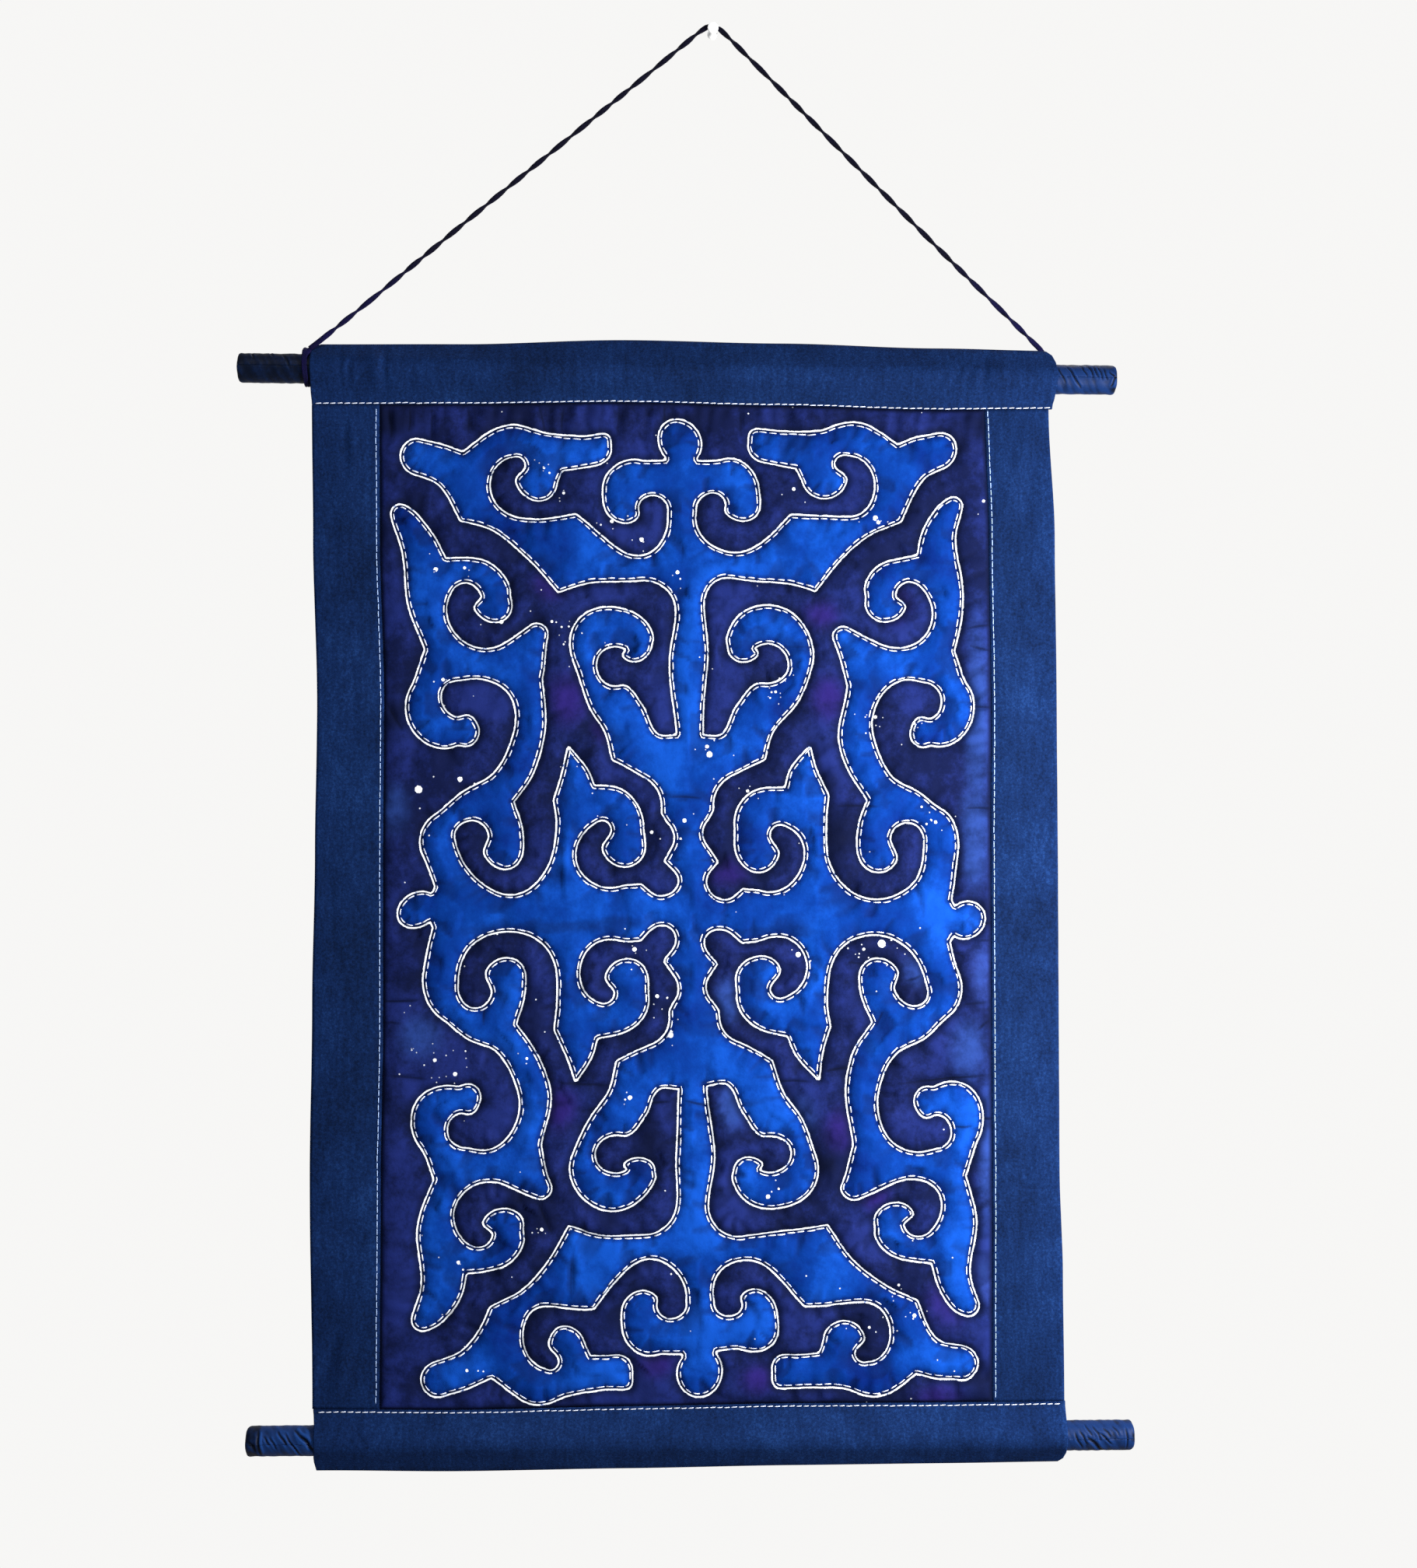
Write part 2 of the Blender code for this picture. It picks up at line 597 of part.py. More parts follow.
def border(name, side, made_of):
    """A side border: side is -1 at the left and 1 at the right."""
    edge, seam = ("left edge", "left seam") if side < 0 else ("right edge", "right seam")

    def place(row, column, facing):
        share = column / (BORDER_COLUMNS - 1)
        fall = row / (BORDER_ROWS - 1)
        z = PANEL_TOP_Z - fall * PANEL_HEIGHT
        inner = side * HALF_PANEL + down(seam, z) + side * GAP
        outer = side * HALF_CLOTH + down(edge, z)
        x = inner + (outer - inner) * share
        upper = PANEL_TOP_Z + across("top seam", x)
        lower = PANEL_BOTTOM_Z + across("bottom seam", x)
        z = upper + (lower - upper) * fall
        half = SEAM_THICKNESS / 2 + BORDER_CROWN * math.sin(math.pi * share)
        return x + CLOTH_X, CLOTH_Y - sway(x, z) - facing * half, z

    bm = bmesh.new()
    slab(bm, BORDER_ROWS, BORDER_COLUMNS, place)
    return finish(name, bm, made_of)


def round_rod(middle, radius, seam, fold):
    """One side of a cloth tube: straight from the seam to the rod, round it, straight to the fold.

    Places are (height from the seam line, depth). middle is the rod's height and radius the
    distance that the cloth keeps from its middle.
    """
    seam_span = math.hypot(middle - seam[0], seam[1])
    fold_span = math.hypot(fold[0] - middle, fold[1])
    start = math.atan2(seam[1], middle - seam[0]) + math.acos(radius / seam_span)
    end = math.pi - math.atan2(fold[1], fold[0] - middle) - math.acos(radius / fold_span)
    angles = np.linspace(start, end, SLEEVE_ARC_STEPS + 1)
    return [(middle - radius * math.cos(angle), radius * math.sin(angle)) for angle in angles]


def sleeve_side(tall, middle, wall):
    """One side of a sleeve's section from seam to fold, as (height, depth): outside where wall is 0."""
    half_chord = (math.pi / 2) / SLEEVE_ARC_STEPS / 2
    radius = (ROD_RADIUS + GAP) / math.cos(half_chord) + SLEEVE_WALL - wall
    seam_rows, fold_rows = (SEAM_INSIDE, FOLD_INSIDE) if wall else (SEAM_OUTSIDE, FOLD_OUTSIDE)
    start = [(up * MM, depth * MM) for up, depth in seam_rows]
    end = [(tall - away * MM, depth * MM) for away, depth in fold_rows]
    return start + round_rod(middle, radius, start[-1], end[0]) + end


def sleeve(name, up, height, shift, rod_z, ends, edge, seam, made_of):
    """A rod sleeve: a flattened tube of cloth, sewn flat along its seam and open at both ends.

    up is 1 where the fold is above the seam and -1 where it is below. rod_z gives the rod's
    height at x, from the cloth's centre.
    """
    seam_z = (PANEL_TOP_Z if up > 0 else PANEL_BOTTOM_Z) + up * GAP
    length = SLEEVE_LENGTH / 2
    reach = SLEEVE_END_REACH
    plain = np.linspace(-length + reach, length - reach, SLEEVE_COLUMNS)
    xs = [-length, -length + reach / 3, *plain, length - reach / 3, length]
    bm = bmesh.new()
    outer_rows, inner_rows = [], []
    for x in xs:
        sign = 1 if x < 0 else -1
        end_rows = SLEEVE_ENDS[f"{ends} left" if x < 0 else f"{ends} right"]
        pull = max(0.0, (abs(x) - (length - reach)) / reach) ** 1.5
        low = seam_z + across(seam, x)
        tall = abs(seam_z + up * (height - GAP) + across(edge, x) - low)
        middle = abs(rod_z(x + shift) - low)
        for wall, made in ((0, outer_rows), (SLEEVE_WALL, inner_rows)):
            loop = []
            for level, depth in sleeve_side(tall, middle, wall):
                inset = pull * between(end_rows, level / tall) * MM
                loop.append((x + sign * inset, -depth, low + up * level))
            loop += [(px, -y, z) for px, y, z in reversed(loop[:-1])]
            made.append([bm.verts.new((px + CLOTH_X + shift, CLOTH_Y + y, z)) for px, y, z in loop])
    for made in (outer_rows, inner_rows):
        for row, following in zip(made, made[1:]):
            bridge(bm, row, following)
    bridge(bm, outer_rows[0], inner_rows[0])
    bridge(bm, outer_rows[-1], inner_rows[-1])
    return finish(name, bm, made_of)


# Rods


def rod_height(sleeve_middle, tilt, shift):
    """A function that gives the rod's height at x, from the cloth's centre."""
    return lambda x: sleeve_middle - (x - shift) * math.tan(tilt)


def wrapped_rod(name, middle_z, shift, tilt, phase, made_of):
    """A rod wrapped in cloth: rippled where it shows, with rounded, folded ends."""
    half = ROD_LENGTH / 2
    stations = [(away * MM - half, lost * MM) for away, lost in ROD_END_ROWS]
    stations += [(half - away * MM, lost * MM) for away, lost in reversed(ROD_END_ROWS)]
    rings = []
    for x, lost in stations:
        shows = half - abs(x) < ROD_SMOOTH_FROM
        ring = []
        for angle in np.linspace(0, 2 * math.pi, ROD_SIDES, endpoint=False):
            fold = math.sin(2 * angle + ROD_RIPPLE_TURN * x + phase) if shows and not lost else 0.0
            crease = math.sin(3 * angle - phase) if lost else 0.0
            radius = ROD_RADIUS - lost + ROD_RIPPLE * (fold + 0.6 * crease)
            ring.append(Vector((x, radius * math.cos(angle), radius * math.sin(angle))))
        rings.append(ring)
    turn = Matrix.Rotation(tilt, 4, "Y")
    place = Matrix.Translation((CLOTH_X + shift, CLOTH_Y, middle_z)) @ turn
    bm = bmesh.new()
    loft(bm, [[place @ point for point in ring] for ring in rings])
    return finish(name, bm, made_of)


# Cord, tie, knot and pin


def smooth_route(points):
    """A finely drawn smooth curve through the points, with the length walked at each place."""
    points = np.array(points, float)
    knots = np.concatenate(([0], np.cumsum(np.linalg.norm(np.diff(points, axis=0), axis=1) ** 0.5)))
    padded = np.vstack((2 * points[0] - points[1], points, 2 * points[-1] - points[-2]))
    before = np.concatenate(([-knots[1]], knots, [2 * knots[-1] - knots[-2]]))
    fine = []
    for index in range(1, len(points)):
        p0, p1, p2, p3 = padded[index - 1 : index + 3]
        t0, t1, t2, t3 = before[index - 1 : index + 3]
        for t in np.linspace(t1, t2, ROUTE_STEPS, endpoint=False):
            a1 = (t1 - t) / (t1 - t0) * p0 + (t - t0) / (t1 - t0) * p1
            a2 = (t2 - t) / (t2 - t1) * p1 + (t - t1) / (t2 - t1) * p2
            a3 = (t3 - t) / (t3 - t2) * p2 + (t - t2) / (t3 - t2) * p3
            b1 = (t2 - t) / (t2 - t0) * a1 + (t - t0) / (t2 - t0) * a2
            b2 = (t3 - t) / (t3 - t1) * a2 + (t - t1) / (t3 - t1) * a3
            fine.append((t2 - t) / (t2 - t1) * b1 + (t - t1) / (t2 - t1) * b2)
    fine = np.vstack((fine, points[-1:]))
    walked = np.concatenate(([0], np.cumsum(np.linalg.norm(np.diff(fine, axis=0), axis=1))))
    return fine, walked


def ribbon_profile():
    """The cord's section: a flat six-sided ribbon, as a guide curve that isn't rendered."""
    curve = bpy.data.curves.new("cord_profile", "CURVE")
    curve.dimensions = "2D"
    spline = curve.splines.new("POLY")
    half, thin = CORD_WIDTH / 2, CORD_THICKNESS / 2
    flat = half * CORD_FLAT_SHARE
    corners = ((half, 0), (flat, -thin), (-flat, -thin), (-half, 0), (-flat, thin), (flat, thin))
    spline.points.add(len(corners) - 1)
    for point, (x, y) in zip(spline.points, corners):
        point.co = (x, y, 0, 1)
    spline.use_cyclic_u = True
    guide = bpy.data.objects.new("cord_profile", curve)
    guide.hide_render = True
    guide.display_type = "WIRE"
    bpy.context.scene.collection.objects.link(guide)
    return guide


def hanging_cord(made_of):
    """The hanging cord: a flat ribbon, twisted along both legs and flat over the pin."""
    fine, walked = smooth_route(CORD_ROUTE)
    at_pin = walked[np.argmin(np.linalg.norm(fine - np.array(CORD_ROUTE[CORD_PIN_POINT]), axis=1))]
    left = np.linspace(0, at_pin - CORD_PIN_ZONE, CORD_STEPS_LEFT + 1)
    middle = np.linspace(at_pin - CORD_PIN_ZONE, at_pin + CORD_PIN_ZONE, CORD_STEPS_AT_PIN + 1)
    right = np.linspace(at_pin + CORD_PIN_ZONE, walked[-1], CORD_STEPS_RIGHT + 1)
    lengths = np.concatenate((left[:-1], middle[:-1], right))
    places = np.column_stack([np.interp(lengths, walked, fine[:, axis]) for axis in range(3)])
    curve = bpy.data.curves.new("hanging_cord", "CURVE")
    curve.dimensions = "3D"
    curve.twist_mode = "Z_UP"
    curve.bevel_mode = "OBJECT"
    curve.bevel_object = ribbon_profile()
    curve.use_fill_caps = True
    curve.render_resolution_u = 0
    spline = curve.splines.new("POLY")
    spline.points.add(len(places) - 1)
    for point, place, length in zip(spline.points, places, lengths):
        point.co = (*place, 1)
        away = length - at_pin
        leg = at_pin if away < 0 else walked[-1] - at_pin
        stretch = leg - CORD_FLAT_AT_PIN - CORD_FLAT_AT_END
        half_turns = round(stretch / CORD_HALF_TURN) + 0.5
        share = min(1.0, max(0.0, (abs(away) - CORD_FLAT_AT_PIN) / stretch))
        point.tilt = math.copysign(math.pi * half_turns * share, away)
    curve.materials.append(made_of)
    cord = bpy.data.objects.new("hanging_cord", curve)
    bpy.context.scene.collection.objects.link(cord)
    return cord


def bump(angle, centre, spread):
    """A smooth bump of height 1 round a circle, at the centre angle."""
    away = (angle - centre + math.pi) % (2 * math.pi) - math.pi
    return math.exp(-((away / spread) ** 2))


def cord_tie(rod_z, made_of):
    """The cord's tie round the top rod's left end, with its knot above and a nub below."""
    x = -SLEEVE_LENGTH / 2 - GAP - TIE_OUT
    inner = ROD_RADIUS + GAP
    bm = bmesh.new()
    rings = []
    for angle in np.linspace(0, 2 * math.pi, TIE_STEPS, endpoint=False):
        knot = bump(angle, TIE_KNOT_ANGLE, TIE_KNOT_SPREAD)
        nub = bump(angle, TIE_NUB_ANGLE, TIE_NUB_SPREAD)
        outer = inner + TIE_THICKNESS + TIE_KNOT * knot + TIE_NUB * nub
        half = TIE_WIDTH / 2 * (1 + TIE_KNOT_WIDER * knot)
        lean = -TIE_LEAN * (math.sin(angle) + knot)
        ring = []
        for share, out in TIE_SECTION:
            radius = inner + out * (outer - inner)
            along = CLOTH_X + x + lean + share * half
            depth = CLOTH_Y + radius * math.cos(angle)
            ring.append(bm.verts.new((along, depth, rod_z(x) + radius * math.sin(angle))))
        rings.append(ring)
    for ring, following in zip(rings, rings[1:] + rings[:1]):
        bridge(bm, ring, following)
    return finish("cord_tie", bm, made_of)


def cord_knot(made_of):
    """The small knot that ends the cord, on the back of the top sleeve."""
    bm = bmesh.new()
    bmesh.ops.create_icosphere(bm, subdivisions=2, radius=1)
    for vert in bm.verts:
        angle = math.atan2(vert.co.z, vert.co.x)
        swell = 1 + KNOT_RIDGE * math.sin(KNOT_RIDGES * angle + 3 * vert.co.y)
        vert.co = Vector(KNOT_CENTRE) + Vector([r * c * swell for r, c in zip(KNOT_RADII, vert.co)])
    return finish("cord_knot", bm, made_of, 180)


def wall_pin(made_of):
    """The white wall pin: a spool whose flat back lies on the wall, and which holds the cord."""
    bm = bmesh.new()
    axis_start = bm.verts.new((0, 0, 0))
    profile = [axis_start]
    profile += [bm.verts.new((radius * MM, -out * MM, 0)) for out, radius in PIN_PROFILE]
    profile.append(bm.verts.new((0, -(PIN_PROFILE[-1][0] + 0.1) * MM, 0)))
    edges = [bm.edges.new(pair) for pair in zip(profile, profile[1:])]
    bmesh.ops.spin(
        bm,
        geom=profile + edges,
        axis=(0, 1, 0),
        cent=(0, 0, 0),
        angle=2 * math.pi,
        steps=PIN_SIDES,
        use_merge=True,
    )
    bmesh.ops.remove_doubles(bm, verts=bm.verts, dist=1e-6)
    return finish("wall_pin", bm, made_of, 35)


def main():
    for old in list(bpy.data.objects):
        bpy.data.objects.remove(old, do_unlink=True)
    batik = material("batik cotton", (0.02, 0.06, 0.32), 0.85)
    plain = material("plain cotton", (0.02, 0.05, 0.15), 0.85)
    wrap = material("rod wrap", (0.01, 0.02, 0.07), 0.45)
    cord = material("cord", (0.008, 0.006, 0.03), 0.7)
    white = material("white plastic", (0.85, 0.85, 0.85), 0.35)

    top_middle = CLOTH_TOP_Z - TOP_SLEEVE_HEIGHT / 2 + TOP_ROD_RAISE
    bottom_middle = PANEL_BOTTOM_Z - BOTTOM_SLEEVE_HEIGHT / 2 - BOTTOM_ROD_DROP
    top_rod_z = rod_height(top_middle, TOP_ROD_TILT, TOP_ROD_SHIFT)
    bottom_rod_z = rod_height(bottom_middle, BOTTOM_ROD_TILT, BOTTOM_ROD_SHIFT)

    quilted_panel(batik)
    border("border_left", -1, plain)
    border("border_right", 1, plain)
    sleeve("sleeve_top", 1, TOP_SLEEVE_HEIGHT, 0, top_rod_z, "top", "top edge", "top seam", plain)
    sleeve(
        "sleeve_bottom",
        -1,
        BOTTOM_SLEEVE_HEIGHT,
        BOTTOM_SLEEVE_SHIFT,
        bottom_rod_z,
        "bottom",
        "bottom edge",
        "bottom seam",
        plain,
    )
    wrapped_rod("rod_top", top_middle, TOP_ROD_SHIFT, TOP_ROD_TILT, 0.4, wrap)
    wrapped_rod("rod_bottom", bottom_middle, BOTTOM_ROD_SHIFT, BOTTOM_ROD_TILT, 1.9, wrap)
    hanging_cord(cord)
    cord_tie(top_rod_z, cord)
    cord_knot(cord)
    wall_pin(white)


main()
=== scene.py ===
"""Looks of the quilted wall hanging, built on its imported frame.

Metres, +Z up, the same frame as the solids: the origin is the centre of the wall pin's back, +X is to
the right and -Y is towards the viewer. Cloth sizes repeat those of the solids, in millimetres times MM.
Places read from the photograph are in pixels of its 1822 by 2016 frame and go through PhotoCamera.
"""

import logging
import math
from collections.abc import Callable, Iterable, Sequence
from dataclasses import dataclass, field
from enum import Enum
from functools import partial

import bmesh
import bpy
import numpy as np
from mathutils import Matrix, Vector, noise
from mathutils.kdtree import KDTree

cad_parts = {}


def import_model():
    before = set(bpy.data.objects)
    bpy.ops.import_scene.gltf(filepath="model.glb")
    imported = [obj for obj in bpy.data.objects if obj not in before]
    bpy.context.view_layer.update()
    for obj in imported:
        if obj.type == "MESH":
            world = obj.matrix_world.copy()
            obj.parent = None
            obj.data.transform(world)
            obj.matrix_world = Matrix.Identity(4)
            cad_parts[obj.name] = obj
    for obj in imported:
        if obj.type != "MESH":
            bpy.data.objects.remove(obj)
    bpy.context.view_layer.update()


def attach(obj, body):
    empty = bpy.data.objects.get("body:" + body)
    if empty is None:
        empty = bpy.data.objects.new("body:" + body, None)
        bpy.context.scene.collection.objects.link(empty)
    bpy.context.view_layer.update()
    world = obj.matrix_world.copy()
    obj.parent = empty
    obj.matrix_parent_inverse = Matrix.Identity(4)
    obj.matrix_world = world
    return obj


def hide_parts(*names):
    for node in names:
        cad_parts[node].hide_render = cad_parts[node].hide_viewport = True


MM = 0.001
TURN = 2 * math.pi
MERGE = 0.002 * MM
CLOTH_Y = -15 * MM
SEED = 7
LOG = logging.getLogger("hanging")

Array = np.ndarray
BMesh = bmesh.types.BMesh
Colour = tuple[float, float, float]
Material = bpy.types.Material
Object = bpy.types.Object
Shape = Callable[[Array, Array], Array]


class Place(Enum):
    """A named place on the hanging."""

    @property
    def word(self) -> str:
        """Its name in the names of pieces and edges."""
        return self.name.lower()


class Side(Place):
    """A side of the hanging, as the viewer sees it."""

    LEFT = -1
    RIGHT = 1


class Level(Place):
    """The top or the bottom of the hanging."""

    TOP = 1
    BOTTOM = -1


def srgb(red: int, green: int, blue: int) -> Colour:
    """A colour seen on a screen, 0 to 255, as the linear colour that a shader takes."""

    def linear(value: int) -> float:
        """One channel's linear share."""
        share = value / 255
        return share / 12.92 if share <= 0.04045 else ((share + 0.055) / 1.055) ** 2.4

    return linear(red), linear(green), linear(blue)


def rows_of(kind: type, *rows: tuple) -> tuple:
    """One object of a kind for each row of a table."""
    return tuple(kind(*row) for row in rows)


def standing(places: Array, y: Array) -> Array:
    """(x, z) places brought to their y, as (x, y, z)."""
    return np.column_stack((places[:, 0], y, places[:, 1]))


def eased(rows: Sequence[tuple[float, float]], share: Array) -> Array:
    """The values of a table of (share, value) rows, eased from one row to the next.

    Args:
        rows: The table, in rising shares.
        share: Where to read it.

    Returns:
        The value at each share.
    """
    shares, values = np.array(rows, float).T
    at = np.clip(np.asarray(share, float), shares[0], shares[-1])
    index = np.clip(np.searchsorted(shares, at, side="left") - 1, 0, len(rows) - 2)
    part = smooth_step(shares[index], shares[index + 1], at)
    return values[index] + (values[index + 1] - values[index]) * part


def smooth_step(low: Array | float, high: Array | float, value: Array) -> Array:
    """0 below low, 1 above high, and a soft rise between. High may be below low."""
    part = np.clip((np.asarray(value, float) - low) / (high - low), 0, 1)
    return part * part * (3 - 2 * part)


def waver(value: Array, length: float, seed: float) -> Array:
    """Soft noise from -1 to 1 along a line, with waves about as long as length."""
    return np.array([noise.noise((float(at) / length, seed, 0.5 * seed)) for at in value])


def cloudy(places: Array, size: float, seed: float) -> Array:
    """Soft noise from -1 to 1 over (x, z) places, with clouds about as wide as size."""
    return np.array([noise.noise((float(x) / size, seed, float(z) / size)) for x, z in places])


# Shader words


class Signal:
    """A shader socket that Python's operators work on, each adding its Math node."""

    def __init__(self, shader: "Shader", socket: bpy.types.NodeSocket) -> None:
        """Wraps one output socket of the shader's tree."""
        self.shader = shader
        self.socket = socket

    def __add__(self, other: "Signal | float") -> "Signal":
        """The sum."""
        return self.shader.math("ADD", self, other)

    def __sub__(self, other: "Signal | float") -> "Signal":
        """The difference."""
        return self.shader.math("SUBTRACT", self, other)

    def __mul__(self, other: "Signal | float") -> "Signal":
        """The product."""
        return self.shader.math("MULTIPLY", self, other)

    def __abs__(self) -> "Signal":
        """The size without its sign."""
        return self.shader.math("ABSOLUTE", self)

    def sine(self) -> "Signal":
        """The sine."""
        return self.shader.math("SINE", self)

    __radd__ = __add__
    __rmul__ = __mul__


Value = Signal | float | Colour


class Shader:
    """A node tree while its nodes are made, for a material or for the world."""

    def __init__(self, owner: Material | bpy.types.World, surface: str) -> None:
        """Starts on the owner's own tree.

        Args:
            owner: The material or the world.
            surface: The name of the node that its look ends in.
        """
        owner.use_nodes = True
        self.owner = owner
        self.tree = owner.node_tree
        self.surface = self.tree.nodes[surface]

    @classmethod
    def of_material(cls, name: str) -> "Shader":
        """Starts a new material with a Principled shader."""
        return cls(bpy.data.materials.new(name), "Principled BSDF")

    def feed(self, node: bpy.types.Node, sockets: dict[str | int, Value]) -> None:
        """Sets or links a node's input sockets.

        Args:
            node: The node.
            sockets: A value or signal for each socket's name or number.
        """
        for key, value in sockets.items():
            socket = node.inputs[key]
            if isinstance(value, Signal):
                self.tree.links.new(value.socket, socket)
            elif isinstance(value, tuple):
                socket.default_value = (*value, 1)
            else:
                socket.default_value = value

    def node(self, kind: str, settings: dict, sockets: dict, output: str | int = 0) -> Signal:
        """Makes a node.

        Args:
            kind: The node's type without its ShaderNode start.
            settings: The node's own settings.
            sockets: A value or signal for each input socket.
            output: The output socket's name or number.

        Returns:
            The output socket as a signal.
        """
        made = self.tree.nodes.new(f"ShaderNode{kind}")
        for name, value in settings.items():
            setattr(made, name, value)
        self.feed(made, sockets)
        return Signal(self, made.outputs[output])

    def math(self, operation: str, *values: Signal | float) -> Signal:
        """A Math node on one or two values."""
        return self.node("Math", {"operation": operation}, dict(enumerate(values)))

    def object_place(self) -> Signal:
        """The place in the frame, in metres."""
        return self.node("TexCoord", {}, {}, "Object")

    def uv(self, name: str) -> tuple[Signal, Signal]:
        """The two parts of a UV map."""
        return self.axes(self.node("UVMap", {"uv_map": name}, {}))[:2]

    def attribute(self, name: str, output: str = "Fac") -> Signal:
        """A mesh attribute."""
        return self.node("Attribute", {"attribute_name": name}, {}, output)

    def axes(self, vector: Signal) -> tuple[Signal, ...]:
        """The three parts of a vector."""
        return tuple(self.node("SeparateXYZ", {}, {0: vector}, name) for name in "XYZ")

    def clouds(self, place: Signal, size: float, detail: float, rough: float) -> Signal:
        """Noise from 0 to 1 with clouds about as wide as size, in metres."""
        sockets = {"Vector": place, "Scale": 1 / size, "Detail": detail, "Roughness": rough}
        return self.node("TexNoise", {}, sockets)

    def rise(self, value: Signal, low: float, high: float) -> Signal:
        """0 below low, 1 above high, and a soft rise between. High may be below low."""
        sockets = {"Value": value, "From Min": low, "From Max": high}
        if low > high:
            sockets = {"Value": value, "From Min": high, "From Max": low, "To Min": 1, "To Max": 0}
        return self.node("MapRange", {"interpolation_type": "SMOOTHSTEP"}, sockets)

    def mixed(self, share: Signal, first: Value, second: Value) -> Signal:
        """Two colours mixed, the second by the share."""
        return self.node("Mix", {"data_type": "RGBA"}, {0: share, 6: first, 7: second}, 2)

    def woven(self, along: Signal, across: Signal, pitch: float) -> Signal:
        """The relief of a plain weave, from -1 to 1."""
        turn = TURN / pitch
        return (along * turn).sine() * (across * turn).sine()

    def matt(self, colour: Signal, rough: Value, height: Signal, strength: float, gloss: float) -> Material:
        """Ends a cloth or thread material.

        Args:
            colour: Its base colour.
            rough: Its roughness.
            height: Its small relief in metres.
            strength: How strongly the relief shows.
            gloss: Its specular level.

        Returns:
            The material.
        """
        normal = self.node("Bump", {}, {"Height": height, "Strength": strength, "Distance": 1.0})
        sockets = {"Base Color": colour, "Roughness": rough, "Specular IOR Level": gloss}
        return self.finished(sockets | {"Normal": normal})

    def finished(self, sockets: dict[str, Value]) -> Material | bpy.types.World:
        """Sets the last node's sockets and gives the material or the world."""
        self.feed(self.surface, sockets)
        return self.owner


# Finishes


class BatikShader(Shader):
    """The batik's shader, with what its dyes read: the place, the side of the line and three clouds."""

    def __init__(self) -> None:
        """Starts the material and its common signals."""
        super().__init__(bpy.data.materials.new("batik cotton"), "Principled BSDF")
        self.place = self.object_place()
        self.x, _, self.z = self.axes(self.place)
        self.side = self.attribute("side")
        self.broad = self.clouds(self.place, 50 * MM, 3, 0.6)
        self.patchy = self.clouds(self.place, 13 * MM, 4, 0.62)
        self.mottle = self.clouds(self.place, 2.4 * MM, 4, 0.7)


